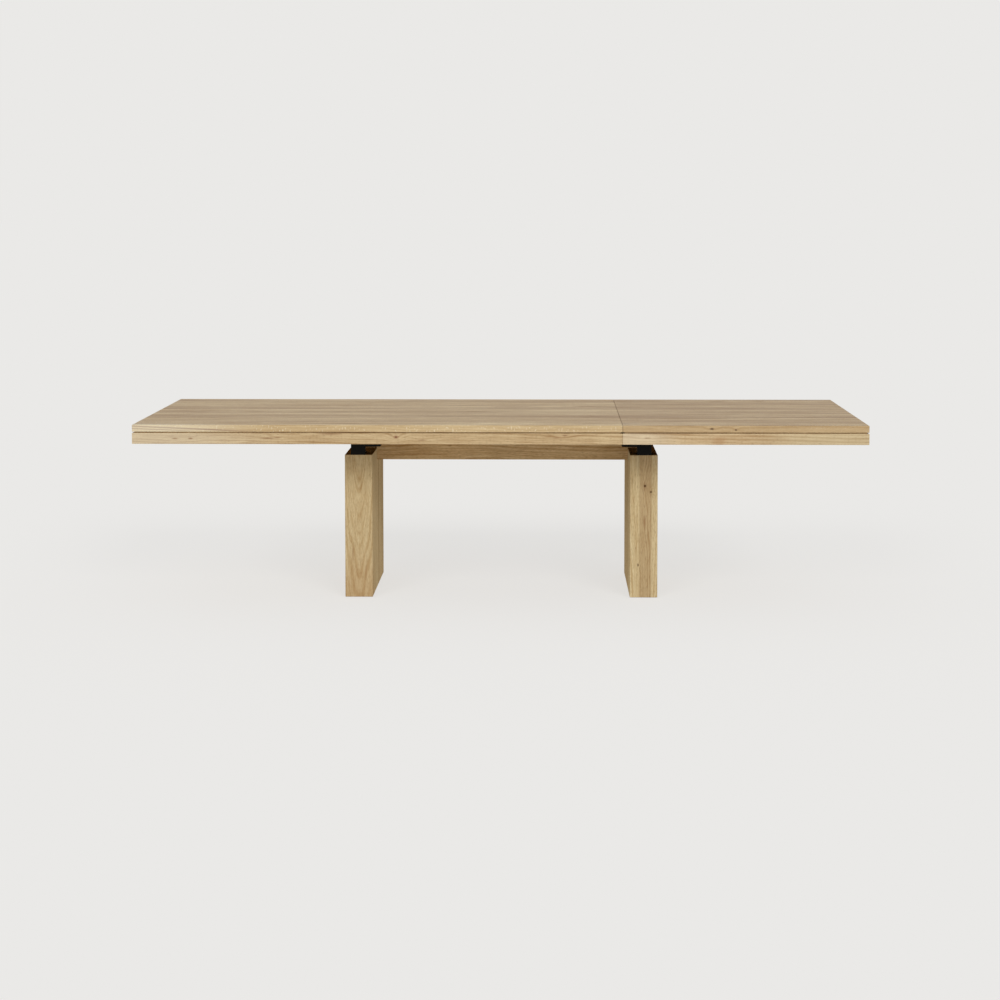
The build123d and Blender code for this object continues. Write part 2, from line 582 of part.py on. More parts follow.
make_sliders("sliders_front", WAY["front"])
make_sliders("sliders_back", WAY["back"])
make_wood_screws("slider_screws", SLIDER_SCREWS, SLIDER_SCREW_SEAT, SLIDER_SCREW_LENGTH, head_up=False)


# ---- Turn buttons under the seam -----------------------------------------------------------
def make_turn_button(label, end):
    """A steel turn button that carries the leaf's seam apron."""
    with BuildPart() as turn_button:
        with BuildSketch(Plane.XY.offset(BUTTON_BOTTOM)):
            with Locations((BUTTON_PIVOT_X + (BUTTON_LENGTH - BUTTON_WIDTH) / 2, end * BUTTON_CENTRE_Y)):
                SlotOverall(BUTTON_LENGTH, BUTTON_WIDTH)
            with Locations((BUTTON_PIVOT_X, end * BUTTON_CENTRE_Y)):
                Circle(WOOD_SCREW_RADIUS + SLIDE_GAP, mode=Mode.SUBTRACT)
        extrude(amount=BUTTON_THICK)
    turn_button.part.label = label
    export_step(turn_button.part, f"parts/{label}.step")


make_turn_button("turn_button_front", WAY["front"])
make_turn_button("turn_button_back", WAY["back"])
make_wood_screws("button_screws", BUTTON_SCREWS, BUTTON_SCREW_SEAT, BUTTON_SCREW_LENGTH, head_up=False)

# ---- End leaf ------------------------------------------------------------------------------
DOWEL_BORE = DOWEL_LENGTH - DOWEL_PROUD + PILOT_SPARE
make_panel("leaf_panel", LEAF_X, LEAF_BATTENS_X, LEAF_X[0], DOWEL_RADIUS + HOLE_EASE, DOWEL_BORE)
make_spacer("leaf_spacer", LEAF_X)
make_apron("leaf_apron_front", LEAF_X, "front")
make_apron("leaf_apron_back", LEAF_X, "back")
make_apron("leaf_apron_end", LEAF_X, "right")
make_apron("leaf_apron_seam", LEAF_X, "left")
make_corner_blocks("leaf_corner_blocks", LEAF_X)
for number, batten_x in enumerate(LEAF_BATTENS_X, start=1):
    make_batten(f"leaf_batten_{number}", batten_x, slider_holes=False)
make_batten_screws("leaf_batten_screws", LEAF_BATTENS_X)

with BuildPart() as locator_dowels:
    with BuildSketch(Plane.YZ.offset(LEAF_X[0] - DOWEL_PROUD)):
        with Locations([(y, PANEL_MIDDLE) for y in DOWELS_Y]):
            Circle(DOWEL_RADIUS)
    extrude(amount=DOWEL_LENGTH)
    chamfer(locator_dowels.faces().group_by(Axis.X)[0].edges(), DOWEL_CHAMFER)
locator_dowels.part.label = "locator_dowels"
export_step(locator_dowels.part, "parts/locator_dowels.step")

with BuildPart() as leaf_pads:
    pad_places = [(x, y) for x in LEAF_BATTENS_X[1:] for y in (-SLEEVE_CENTRE_Y, SLEEVE_CENTRE_Y)]
    with BuildSketch(Plane.XY.offset(APRON_BOTTOM)):
        with Locations(pad_places):
            Rectangle(LEAF_PAD_LENGTH, LEAF_PAD_WIDTH)
    extrude(amount=-LEAF_PAD_HEIGHT)
leaf_pads.part.label = "leaf_pads"
export_step(leaf_pads.part, "parts/leaf_pads.step")


# ---- Pull-out support arms -----------------------------------------------------------------
def make_arm(label, end):
    """A solid aluminium bar that runs in its sleeve, tapped at its outer end."""
    with BuildPart() as arm:
        with BuildSketch(Plane.YZ.offset(ARM_START_X)):
            with Locations((end * SLEEVE_CENTRE_Y, ARM_BOTTOM + ARM_HEIGHT / 2)):
                Rectangle(ARM_WIDTH, ARM_HEIGHT)
        extrude(amount=ARM_LENGTH)
        with BuildSketch(Plane.YZ.offset(ARM_END_X)):
            with Locations((end * SLEEVE_CENTRE_Y, ARM_BOTTOM + ARM_HEIGHT / 2)):
                Circle(SLEEVE_BOLT_RADIUS + HOLE_EASE)
        extrude(amount=-(BRIDGE_BOLT_GRIP + PILOT_SPARE), mode=Mode.SUBTRACT)
    arm.part.label = label
    export_step(arm.part, f"parts/{label}.step")


make_arm("support_arm_front", WAY["front"])
make_arm("support_arm_back", WAY["back"])

BRIDGE_BOLTS = [(y, ARM_BOTTOM + ARM_HEIGHT / 2) for y in (-SLEEVE_CENTRE_Y, SLEEVE_CENTRE_Y)]

with BuildPart() as arm_bridge:
    with BuildSketch(Plane.YZ.offset(ARM_END_X)):
        with Locations((0, ARM_BOTTOM + ARM_HEIGHT / 2)):
            Rectangle(2 * SLEEVE_CENTRE_Y + ARM_WIDTH, ARM_HEIGHT)
        with Locations(BRIDGE_BOLTS):
            Circle(SLEEVE_BOLT_RADIUS + HOLE_EASE, mode=Mode.SUBTRACT)
    extrude(amount=BRIDGE_THICK)
    with BuildSketch(Plane.YZ.offset(ARM_END_X + BRIDGE_THICK)):
        with Locations(BRIDGE_BOLTS):
            Circle(2 * SLEEVE_BOLT_RADIUS + HOLE_EASE)
    extrude(amount=-BRIDGE_HEAD_DEPTH, mode=Mode.SUBTRACT)
arm_bridge.part.label = "arm_bridge"
export_step(arm_bridge.part, "parts/arm_bridge.step")

with BuildPart() as bridge_bolts:
    with BuildSketch(Plane.YZ.offset(ARM_END_X + BRIDGE_THICK - BRIDGE_HEAD_DEPTH)):
        with Locations(BRIDGE_BOLTS):
            Circle(SLEEVE_BOLT_RADIUS)
    extrude(amount=-(BRIDGE_THICK - BRIDGE_HEAD_DEPTH + BRIDGE_BOLT_GRIP))
    with BuildSketch(Plane.YZ.offset(ARM_END_X + BRIDGE_THICK - BRIDGE_HEAD_DEPTH)):
        with Locations(BRIDGE_BOLTS):
            Circle(2 * SLEEVE_BOLT_RADIUS)
    extrude(amount=BRIDGE_HEAD_DEPTH - PILOT_SPARE)
bridge_bolts.part.label = "bridge_bolts"
export_step(bridge_bolts.part, "parts/bridge_bolts.step")
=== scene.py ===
"""Looks of an extendable dining table in oiled oak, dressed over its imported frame.

The table has a sliding main top and an end leaf on two slab legs.  Black steel brackets and a
runner frame carry the top, and two aluminium arms pull out under the leaf.  The wide panels and
the legs are cut here into the boards that they are glued up from; every other piece keeps its
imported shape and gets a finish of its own.
"""

import logging
import math
from dataclasses import dataclass, field, replace
from enum import Enum
from typing import Any, Iterable, Sequence

import bmesh
import bpy
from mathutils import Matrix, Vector


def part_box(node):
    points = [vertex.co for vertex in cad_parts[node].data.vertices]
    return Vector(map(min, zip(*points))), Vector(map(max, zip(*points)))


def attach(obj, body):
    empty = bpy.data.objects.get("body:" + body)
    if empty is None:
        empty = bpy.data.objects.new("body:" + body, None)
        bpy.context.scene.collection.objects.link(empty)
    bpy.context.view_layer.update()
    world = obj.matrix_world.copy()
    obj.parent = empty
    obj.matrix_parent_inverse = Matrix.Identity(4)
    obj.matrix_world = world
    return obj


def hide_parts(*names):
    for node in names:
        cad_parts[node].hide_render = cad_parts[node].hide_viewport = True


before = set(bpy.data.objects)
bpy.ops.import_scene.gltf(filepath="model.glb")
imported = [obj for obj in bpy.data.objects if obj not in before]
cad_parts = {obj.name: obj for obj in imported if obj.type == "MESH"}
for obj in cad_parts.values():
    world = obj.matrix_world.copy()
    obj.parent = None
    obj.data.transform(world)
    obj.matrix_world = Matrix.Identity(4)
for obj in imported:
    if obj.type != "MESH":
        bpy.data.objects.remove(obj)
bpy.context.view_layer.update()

MM = 0.001
AXES = "XYZ"

# Points closer together than this are one point, in metres.
SAME_POINT = 1e-6
# A point closer to a saw cut than this lies on it, in metres.
ON_THE_PLANE = 1e-7

# How often the fibres wander in a metre, along the grain and twice across it.
WANDERS_PER_METRE = (2.2, 9.0, 9.0)
# How often ray flecks come in a metre, in the same way: about every 6 mm, and every 11 mm.
FLECKS_PER_METRE = (160.0, 90.0, 90.0)
# The calm colour of a board's edge is this much pale wood; the rest is ring wood.
EDGE_PALE_SHARE = 0.6
# A darker board is redder too: how much each channel follows its tone.
TONE_BY_CHANNEL = (0.75, 1.0, 1.15)
# The inner parts of a mark and of a dark ring that have their full strength.
MARK_CORE = 0.2
RING_CORE = 0.3
Socket = bpy.types.NodeSocket
Tree = bpy.types.NodeTree

log = logging.getLogger("dining_table")


class Grain(Enum):
    """The way a board's fibres run: first the axis along them, then the two across."""

    ALONG_X = "XYZ"
    ALONG_Y = "YXZ"
    ALONG_Z = "ZXY"

    @property
    def order(self) -> tuple[int, int, int]:
        """The three axes as numbers, the one along the fibres first."""
        along, across, deep = (AXES.index(letter) for letter in self.value)
        return along, across, deep


def linear(hex_colour: str) -> tuple[float, float, float, float]:
    """Turn an sRGB hex value into linear light.

    Args:
        hex_colour: Six hex digits after a hash.

    Returns:
        Linear red, green and blue, and an alpha of one.
    """
    channels = []
    for start in (1, 3, 5):
        value = int(hex_colour[start:start + 2], 16) / 255
        channels.append(value / 12.92 if value <= 0.04045 else ((value + 0.055) / 1.055) ** 2.4)
    return channels[0], channels[1], channels[2], 1.0


def add_node(
    tree: Tree,
    kind: str,
    settings: dict[str, Any] | None = None,
    values: dict[str | int, Any] | None = None,
    links: dict[str | int, Socket] | None = None,
) -> bpy.types.Node:
    """Add a shader node with its settings, input values and links.

    Args:
        tree: The node tree that takes the node.
        kind: The node's type name, without its leading "ShaderNode".
        settings: Attributes of the node itself.
        values: Constant inputs, by name or number.
        links: Sockets that feed inputs, by name or number.

    Returns:
        The new node.
    """
    node = tree.nodes.new("ShaderNode" + kind)
    for name, value in (settings or {}).items():
        setattr(node, name, value)
    for key, value in (values or {}).items():
        node.inputs[key].default_value = value
    for key, socket in (links or {}).items():
        tree.links.new(socket, node.inputs[key])
    return node


def start_material(name: str) -> tuple[bpy.types.Material, Tree, bpy.types.Node]:
    """Start a node material.

    Args:
        name: The finish's name.

    Returns:
        The material, its tree, and its Principled shader, wired to the output.
    """
    material = bpy.data.materials.new(name)
    material.use_nodes = True
    tree = material.node_tree
    tree.nodes.clear()
    shader = add_node(tree, "BsdfPrincipled")
    add_node(tree, "OutputMaterial", links={"Surface": shader.outputs["BSDF"]})
    return material, tree, shader


def texture(
    tree: Tree,
    shader: bpy.types.Node,
    pattern: Socket,
    colours: tuple[str, str],
    gloss: tuple[float, float],
    relief: float,
    relief_mm: float,
) -> None:
    """Let one pattern drive a surface's colour, roughness and relief.

    Args:
        tree: The material's tree.
        shader: Its Principled shader.
        pattern: A value from 0 to 1.
        colours: The colours at 0 and at 1.
        gloss: The roughness at 0 and at 1.
        relief: The relief's strength.
        relief_mm: The relief's depth.
    """
    shade = add_node(
        tree, "Mix", {"data_type": "RGBA"}, {6: linear(colours[0]), 7: linear(colours[1])}, {0: pattern}
    )
    tree.links.new(shade.outputs[2], shader.inputs["Base Color"])
    rough = add_node(tree, "MapRange", {}, {"To Min": gloss[0], "To Max": gloss[1]}, {"Value": pattern})
    tree.links.new(rough.outputs[0], shader.inputs["Roughness"])
    bump = add_node(
        tree, "Bump", {}, {"Strength": relief, "Distance": relief_mm * MM}, {"Height": pattern}
    )
    tree.links.new(bump.outputs["Normal"], shader.inputs["Normal"])


def set_up(mesh: bpy.types.Mesh, material: bpy.types.Material) -> bpy.types.Object:
    """Give a new mesh its finish and put it into the scene.

    Args:
        mesh: The mesh, which gives the object its name.
        material: Its finish.

    Returns:
        The new object.
    """
    mesh.materials.append(material)
    piece = bpy.data.objects.new(mesh.name, mesh)
    bpy.context.scene.collection.objects.link(piece)
    return piece


@dataclass(frozen=True)
class Mark:
    """A knot, fleck or patch in the wood, or a patch of painted shade.

    Attributes:
        place: Its middle, in metres from its piece's lower corner.
        radius_mm: How far it reaches across the grain.
        stretch: How many times further it reaches along the grain.
        strength: How much of its colour covers the wood's at its middle.
        colour: Its colour.
        swell: How far it pushes the growth rings aside, in its radii.
        swell_reach: How far out it does so, in its radii.
    """

    place: tuple[float, float, float]
    radius_mm: float
    stretch: float = 1.4
    strength: float = 0.9
    colour: str = "#45270F"
    swell: float = 1.0
    swell_reach: float = 4.0

    def on(self, corner: Sequence[float]) -> "Mark":
        """The same mark, placed in the table's frame for a piece with this lower corner."""
        x, y, z = (start + away for start, away in zip(corner, self.place))
        return replace(self, place=(x, y, z))


@dataclass(frozen=True)
class DarkRing:
    """One dark growth ring that slants along a board's edge and fades out on its way.

    Attributes:
        start: Where it starts, along X and Z, in metres from its piece's lower corner.
        end: Where it has faded out, in the same way.
        thick_mm: How far it reaches on either side of its middle.
    """

    start: tuple[float, float]
    end: tuple[float, float]
    thick_mm: float = 4.2

    def on(self, corner: Sequence[float]) -> "DarkRing":
        """The same ring, placed in the table's frame for a piece with this lower corner."""
        ends = [(corner[0] + along, corner[2] + up) for along, up in (self.start, self.end)]
        return replace(self, start=ends[0], end=ends[1])


def on_node(node: str, features: Iterable[Any]) -> tuple[Any, ...]:
    """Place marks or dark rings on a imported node."""
    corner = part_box(node)[0]
    return tuple(feature.on(corner) for feature in features)


@dataclass(frozen=True)
class Timber:
    """A sawn hardwood board, with growth rings about a pith that lies beside or below it.

    Attributes:
        name: The finish's name.
        grain: The way the fibres run.
        pale: The wood between its rings.
        dark: The dense wood of the rings.
        pith: From the table's origin to the pith, along and twice across the grain, in metres.
        lean: How far the pith leans into the board, over its length.  It draws the long flames.
        ring_mm: A growth ring's width.  Real rings are 1.5 to 3 mm, and are drawn wider to show.
        band_mm: The width of the slower changes from one group of years to the next.
        group_share: How strongly those slower changes show, beside the rings.
        streak_mm: How wide the pale and brown streaks are that run along the board.
        streak_stretch: How many times longer than wide they are.
        line_mm: How wide the narrower lines between them are.
        line_stretch: How many times longer than wide they are.
        wander_mm: How far the fibres wander sideways.
        flecks: How clearly the rays' pale flecks show on a board's edge; none at 0.
        edge_calm: How far the figure fades on such an edge.
        sheen: How much light the oiled surface throws back at low angles.
        fibre_mm: A bundle of fibres, drawn at twice its real width.
        fibre_stretch: How many times longer than wide it is.
        pore_mm: A vessel in the open grain, drawn at three times its real width.
        pore_stretch: How many times longer than wide it is.
        figure: How strongly the grain stands out.
        spread: How far from the mean the grain is pure pale or pure dark wood, at figure 1.
        weights: How much rings, fibres, lines and streaks each count.
        roughness: The surface's mean roughness.
        gloss_spread: How far the roughness strays from it.
        relief: The open grain's strength.
        relief_mm: The open grain's depth.
        marks: Knots, flecks and patches, some of them painted shade, in the table's frame.
        dark_rings: Single dark rings that cross an edge, in the table's frame.
        pore_tint: What the pores multiply the wood by.
        end_tint: What the end grain multiplies it by.
        ring_tint: What a dark ring multiplies it by.
        fleck_colour: The flecks' colour.
    """

    name: str
    grain: Grain
    pale: str = "#DAC296"
    dark: str = "#A17C4D"
    pith: tuple[float, float, float] = (0.0, 0.061, 0.9)
    lean: float = 0.02
    ring_mm: float = 7.0
    band_mm: float = 34.0
    group_share: float = 0.5
    streak_mm: float = 42.0
    streak_stretch: float = 9.0
    line_mm: float = 7.0
    line_stretch: float = 11.0
    wander_mm: float = 25.0
    flecks: float = 0.0
    edge_calm: float = 0.55
    sheen: float = 0.5
    fibre_mm: float = 1.8
    fibre_stretch: float = 22.0
    pore_mm: float = 0.8
    pore_stretch: float = 18.0
    figure: float = 1.0
    spread: float = 0.3
    weights: tuple[float, float, float, float] = (0.42, 0.3, 0.55, 0.55)
    roughness: float = 0.5
    gloss_spread: float = 0.07
    relief: float = 0.25
    relief_mm: float = 0.15
    marks: tuple[Mark, ...] = ()
    dark_rings: tuple[DarkRing, ...] = ()
    pore_tint: str = "#8F6C46"
    end_tint: str = "#C0A27C"
    ring_tint: str = "#A06A3A"
    fleck_colour: str = "#F3E7CB"

    def make(self) -> bpy.types.Material:
        """Build the material.

        Returns:
            The finished timber.
        """
        material, tree, shader = start_material(self.name)
        place = self._from_the_pith(tree)
        grown = self._bend_the_fibres(tree, place)
        rings = self._rings(tree, grown)
        fibres = self._drawn_noise(tree, grown, self.fibre_mm, self.fibre_stretch, detail=2.0)
        streaks = self._drawn_noise(tree, place, self.streak_mm, self.streak_stretch, detail=2.0)
        lines = self._drawn_noise(tree, grown, self.line_mm, self.line_stretch, detail=1.0)
        pores = self._pores(tree, place)
        colour = self._mix_the_wood(tree, tuple(zip((rings, fibres, lines, streaks), self.weights)))
        colour = self._tint(tree, colour, pores, self.pore_tint)
        if self.flecks:
            colour = self._ray_flecks(tree, place, colour)
        colour = self._tint(tree, colour, self._end_grain(tree), self.end_tint)
        for ring in self.dark_rings:
            colour = self._tint(tree, colour, self._dark_ring(tree, ring), self.ring_tint)
        for mark in self.marks:
            colour = add_node(
                tree, "Mix", {"data_type": "RGBA"}, {7: linear(mark.colour)},
                {0: self._near(tree, mark, 1.0, mark.strength), 6: colour},
            ).outputs[2]
        tree.links.new(self._board_tone(tree, colour), shader.inputs["Base Color"])
        shader.inputs["IOR"].default_value = 1.5
        shader.inputs["Specular IOR Level"].default_value = self.sheen
        self._finish_the_surface(tree, shader, fibres, pores)
        return material

    def _from_the_pith(self, tree: Tree) -> Socket:
        """Read the place from the pith, with the fibres' way first, board by board.

        Args:
            tree: The material's tree.

        Returns:
            The place, in metres.
        """
        place = add_node(tree, "TexCoord")
        apart = add_node(tree, "SeparateXYZ", links={0: place.outputs["Object"]})
        turned = add_node(
            tree, "CombineXYZ",
            links={slot: apart.outputs[axis] for slot, axis in enumerate(self.grain.order)}
        )
        board = add_node(tree, "Attribute", {"attribute_name": "pith"})
        own = add_node(
            tree, "VectorMath", {"operation": "SUBTRACT"}, {},
            {0: turned.outputs[0], 1: board.outputs["Vector"]},
        )
        return add_node(
            tree, "VectorMath", {"operation": "SUBTRACT"}, {1: self.pith}, {0: own.outputs[0]}
        ).outputs[0]

    def _bend_the_fibres(self, tree: Tree, place: Socket) -> Socket:
        """Let the fibres wander sideways a little in every half metre.

        Args:
            tree: The material's tree.
            place: The place from the pith.

        Returns:
            The place with the wander in it.
        """
        slow = add_node(tree, "VectorMath", {"operation": "MULTIPLY"}, {1: WANDERS_PER_METRE}, {0: place})
        noise = add_node(tree, "TexNoise", {}, {"Scale": 1.0, "Detail": 1.0}, {"Vector": slow.outputs[0]})
        middle = add_node(
            tree, "VectorMath", {"operation": "SUBTRACT"}, {1: (0.5, 0.5, 0.5)}, {0: noise.outputs["Color"]}
        )
        return add_node(
            tree, "VectorMath", {"operation": "MULTIPLY_ADD"},
            {1: (0.0, self.wander_mm * MM, self.wander_mm * MM)},
            {0: middle.outputs[0], 2: place},
        ).outputs[0]

    def _rings(self, tree: Tree, grown: Socket) -> Socket:
        """Growth rings by distance from the leaning pith, with knots pushing them aside.

        Args:
            tree: The material's tree.
            grown: The place from the pith, with the fibres' wander in it.

        Returns:
            A value that is higher in the rings.
        """
        apart = add_node(tree, "SeparateXYZ", links={0: grown})
        deep = add_node(
            tree, "Math", {"operation": "MULTIPLY_ADD"}, {1: self.lean},
            {0: apart.outputs[0], 2: apart.outputs[2]}
        )
        flat = add_node(tree, "CombineXYZ", links={0: apart.outputs[1], 1: deep.outputs[0]})
        radius = add_node(
            tree, "VectorMath", {"operation": "LENGTH"}, {}, {0: flat.outputs[0]}
        ).outputs["Value"]
        for mark in self.marks:
            if mark.swell:
                swell = self._near(tree, mark, mark.swell_reach, mark.radius_mm * mark.swell * MM)
                radius = add_node(tree, "Math", {"operation": "ADD"}, {}, {0: radius, 1: swell}).outputs[0]
        years = add_node(
            tree, "TexNoise", {"noise_dimensions": "1D"}, {"Scale": 1 / (self.ring_mm * MM), "Detail": 1.0},
            {"W": radius}
        )
        groups = add_node(
            tree, "TexNoise", {"noise_dimensions": "1D"}, {"Scale": 1 / (self.band_mm * MM), "Detail": 1.0},
            {"W": radius}
        )
        crisp = add_node(
            tree, "MapRange", {"interpolation_type": "SMOOTHSTEP"},
            {"From Min": 0.4, "From Max": 0.68, "To Max": 0.7}, {"Value": years.outputs[0]},
        )
        return add_node(
            tree, "Math", {"operation": "MULTIPLY_ADD"}, {1: self.group_share},
            {0: groups.outputs[0], 2: crisp.outputs[0]}
        ).outputs[0]

    def _drawn_noise(
        self, tree: Tree, place: Socket, wide_mm: float, stretch: float, detail: float
    ) -> Socket:
        """Noise drawn out along the fibres.

        Args:
            tree: The material's tree.
            place: The place from the pith.
            wide_mm: How wide a streak is across the grain.
            stretch: How many times longer it is than wide.
            detail: How many finer layers lie in it.

        Returns:
            A value from 0 to 1.
        """
        across = 1 / (wide_mm * MM)
        drawn = add_node(
            tree, "VectorMath", {"operation": "MULTIPLY"}, {1: (across / stretch, across, across)}, {0: place}
        )
        return add_node(
            tree, "TexNoise", {}, {"Scale": 1.0, "Detail": detail}, {"Vector": drawn.outputs[0]}
        ).outputs[0]

    def _pores(self, tree: Tree, place: Socket) -> Socket:
        """Short dark vessels, as dashes that follow the fibres.

        Args:
            tree: The material's tree.
            place: The place from the pith.

        Returns:
            A value that is higher in a vessel.
        """
        dashes = self._drawn_noise(tree, place, self.pore_mm, self.pore_stretch, detail=0.0)
        return add_node(
            tree, "MapRange", {}, {"From Min": 0.6, "From Max": 0.75, "To Max": 0.5}, {"Value": dashes}
        ).outputs[0]

    def _ray_flecks(self, tree: Tree, place: Socket, colour: Socket) -> Socket:
        """Calm the figure of a board's edge, and lay the pale flecks of the rays that it cuts.

        Args:
            tree: The material's tree.
            place: The place from the pith.
            colour: The wood so far.

        Returns:
            The wood with its flecks.
        """
        short = add_node(tree, "VectorMath", {"operation": "MULTIPLY"}, {1: FLECKS_PER_METRE}, {0: place})
        noise = add_node(tree, "TexNoise", {}, {"Scale": 1.0, "Detail": 0.0}, {"Vector": short.outputs[0]})
        fleck = add_node(
            tree, "MapRange", {}, {"From Min": 0.66, "From Max": 0.76, "To Max": self.flecks},
            {0: noise.outputs[0]}
        )
        normal = add_node(tree, "TexCoord")
        apart = add_node(tree, "SeparateXYZ", links={0: normal.outputs["Normal"]})
        facing = add_node(
            tree, "Math", {"operation": "ABSOLUTE"}, {}, {0: apart.outputs[self.grain.order[1]]}
        )
        shades = zip(linear(self.pale), linear(self.dark))
        middle = tuple(EDGE_PALE_SHARE * pale + (1 - EDGE_PALE_SHARE) * dark for pale, dark in shades)
        calm = add_node(tree, "Math", {"operation": "MULTIPLY"}, {1: self.edge_calm}, {0: facing.outputs[0]})
        amount = add_node(
            tree, "Math", {"operation": "MULTIPLY"}, {}, {0: fleck.outputs[0], 1: facing.outputs[0]}
        )
        for shade, cover in ((middle, calm), (linear(self.fleck_colour), amount)):
            colour = add_node(
                tree, "Mix", {"data_type": "RGBA"}, {7: shade}, {0: cover.outputs[0], 6: colour}
            ).outputs[2]
        return colour

    def _mix_the_wood(self, tree: Tree, parts: Sequence[tuple[Socket, float]]) -> Socket:
        """Blend pale and dark wood.

        Args:
            tree: The material's tree.
            parts: What the grain is made of, as values about a half and their weights.

        Returns:
            The wood's colour.
        """
        total = None
        for part, weight in parts:
            links = {0: part} if total is None else {0: part, 2: total}
            total = add_node(
                tree, "Math", {"operation": "MULTIPLY_ADD"}, {1: weight, 2: 0.0}, links
            ).outputs[0]
        middle = sum(weight for _, weight in parts) / 2
        half = self.spread / self.figure
        amount = add_node(
            tree, "MapRange", {}, {"From Min": middle - half, "From Max": middle + half}, {"Value": total}
        )
        return add_node(
            tree, "Mix", {"data_type": "RGBA"}, {6: linear(self.pale), 7: linear(self.dark)},
            {0: amount.outputs[0]}
        ).outputs[2]

    def _end_grain(self, tree: Tree) -> Socket:
        """Where the fibres end at the surface, which drinks more oil and so is darker.

        Args:
            tree: The material's tree.

        Returns:
            A value that is higher on end grain.
        """
        place = add_node(tree, "TexCoord")
        apart = add_node(tree, "SeparateXYZ", links={0: place.outputs["Normal"]})
        facing = add_node(
            tree, "Math", {"operation": "ABSOLUTE"}, {}, {0: apart.outputs[self.grain.order[0]]}
        )
        return add_node(
            tree, "MapRange", {"interpolation_type": "SMOOTHSTEP"},
            {"From Min": 0.5, "From Max": 0.95, "To Max": 0.9},
            {"Value": facing.outputs[0]},
        ).outputs[0]

    def _dark_ring(self, tree: Tree, ring: DarkRing) -> Socket:
        """A thin slanting band, fading out at its far end.

        Args:
            tree: The material's tree.
            ring: The ring, in the table's frame.

        Returns:
            A value that is 1 in the ring.
        """
        place = add_node(tree, "TexCoord")
        apart = add_node(tree, "SeparateXYZ", links={0: place.outputs["Object"]})
        slope = (ring.end[1] - ring.start[1]) / (ring.end[0] - ring.start[0])
        thick = ring.thick_mm * MM
        half_way = (ring.start[0] + ring.end[0]) / 2
        level = add_node(
            tree, "Math", {"operation": "MULTIPLY_ADD"},
            {1: -slope, 2: slope * ring.start[0] - ring.start[1]},
            {0: apart.outputs[0]},
        )
        off = add_node(tree, "Math", {"operation": "ADD"}, {}, {0: apart.outputs[2], 1: level.outputs[0]})
        size = add_node(tree, "Math", {"operation": "ABSOLUTE"}, {}, {0: off.outputs[0]})
        line = add_node(
            tree, "MapRange", {"interpolation_type": "SMOOTHSTEP"},
            {"From Min": RING_CORE * thick, "From Max": thick, "To Min": 1.0, "To Max": 0.0},
            {"Value": size.outputs[0]},
        )
        fade = add_node(
            tree, "MapRange", {"interpolation_type": "SMOOTHSTEP"},
            {"From Min": half_way, "From Max": ring.end[0], "To Min": 1.0, "To Max": 0.0},
            {"Value": apart.outputs[0]},
        )
        return add_node(
            tree, "Math", {"operation": "MULTIPLY"}, {}, {0: line.outputs[0], 1: fade.outputs[0]}
        ).outputs[0]

    def _near(self, tree: Tree, mark: Mark, reach: float, close: float) -> Socket:
        """A value that fades away from a mark's middle.

        Args:
            tree: The material's tree.
            mark: The mark.
            reach: Where it has faded away, in the mark's radii.
            close: The value at the middle.

        Returns:
            The value's socket.
        """
        squeeze = [1.0, 1.0, 1.0]
        squeeze[self.grain.order[0]] = 1 / mark.stretch
        place = add_node(tree, "TexCoord")
        away = add_node(
            tree, "VectorMath", {"operation": "SUBTRACT"}, {1: mark.place}, {0: place.outputs["Object"]}
        )
        flat = add_node(tree, "VectorMath", {"operation": "MULTIPLY"}, {1: squeeze}, {0: away.outputs[0]})
        apart = add_node(tree, "VectorMath", {"operation": "LENGTH"}, {}, {0: flat.outputs[0]})
        edge = reach * mark.radius_mm * MM
        return add_node(
            tree, "MapRange", {"interpolation_type": "SMOOTHSTEP"},
            {"From Min": MARK_CORE * edge, "From Max": edge, "To Min": close, "To Max": 0.0},
            {"Value": apart.outputs["Value"]},
        ).outputs[0]

    def _tint(self, tree: Tree, colour: Socket, amount: Socket, tint: str) -> Socket:
        """Multiply a colour by a tint, as far as an amount says."""
        return add_node(
            tree, "Mix", {"data_type": "RGBA", "blend_type": "MULTIPLY"}, {7: linear(tint)},
            {0: amount, 6: colour}
        ).outputs[2]

    def _board_tone(self, tree: Tree, colour: Socket) -> Socket:
        """Make each glued board a little lighter, or darker and redder, than the next.

        Args:
            tree: The material's tree.
            colour: The wood so far.

        Returns:
            The wood with its boards' tones.
        """
        tone = add_node(tree, "Attribute", {"attribute_name": "tone"})
        warm = add_node(
            tree, "VectorMath", {"operation": "SCALE"}, {0: TONE_BY_CHANNEL}, {"Scale": tone.outputs["Fac"]}
        )
        bright = add_node(
            tree, "VectorMath", {"operation": "ADD"}, {1: (1.0, 1.0, 1.0)}, {0: warm.outputs[0]}
        )
        return add_node(
            tree, "VectorMath", {"operation": "MULTIPLY"}, {}, {0: colour, 1: bright.outputs[0]}
        ).outputs[0]

    def _finish_the_surface(self, tree: Tree, shader: bpy.types.Node, fibres: Socket, pores: Socket) -> None:
        """Give the surface its sheen and the relief of its open grain.

        Args:
            tree: The material's tree.
            shader: Its Principled shader.
            fibres: The fibres' value.
            pores: The vessels' value.
        """
        gloss = add_node(
            tree, "MapRange", {},
            {"To Min": self.roughness - self.gloss_spread, "To Max": self.roughness + self.gloss_spread},
            {"Value": fibres},
        )
        tree.links.new(gloss.outputs[0], shader.inputs["Roughness"])
        relief = add_node(tree, "Math", {"operation": "SUBTRACT"}, {}, {0: fibres, 1: pores})
        bump = add_node(
            tree, "Bump", {}, {"Strength": self.relief, "Distance": self.relief_mm * MM},
            {"Height": relief.outputs[0]}
        )
        tree.links.new(bump.outputs["Normal"], shader.inputs["Normal"])


@dataclass(frozen=True)
class OiledOak(Timber):
    """European oak, planed, sanded and matt oiled: warm and pale, with open grain and a low sheen."""


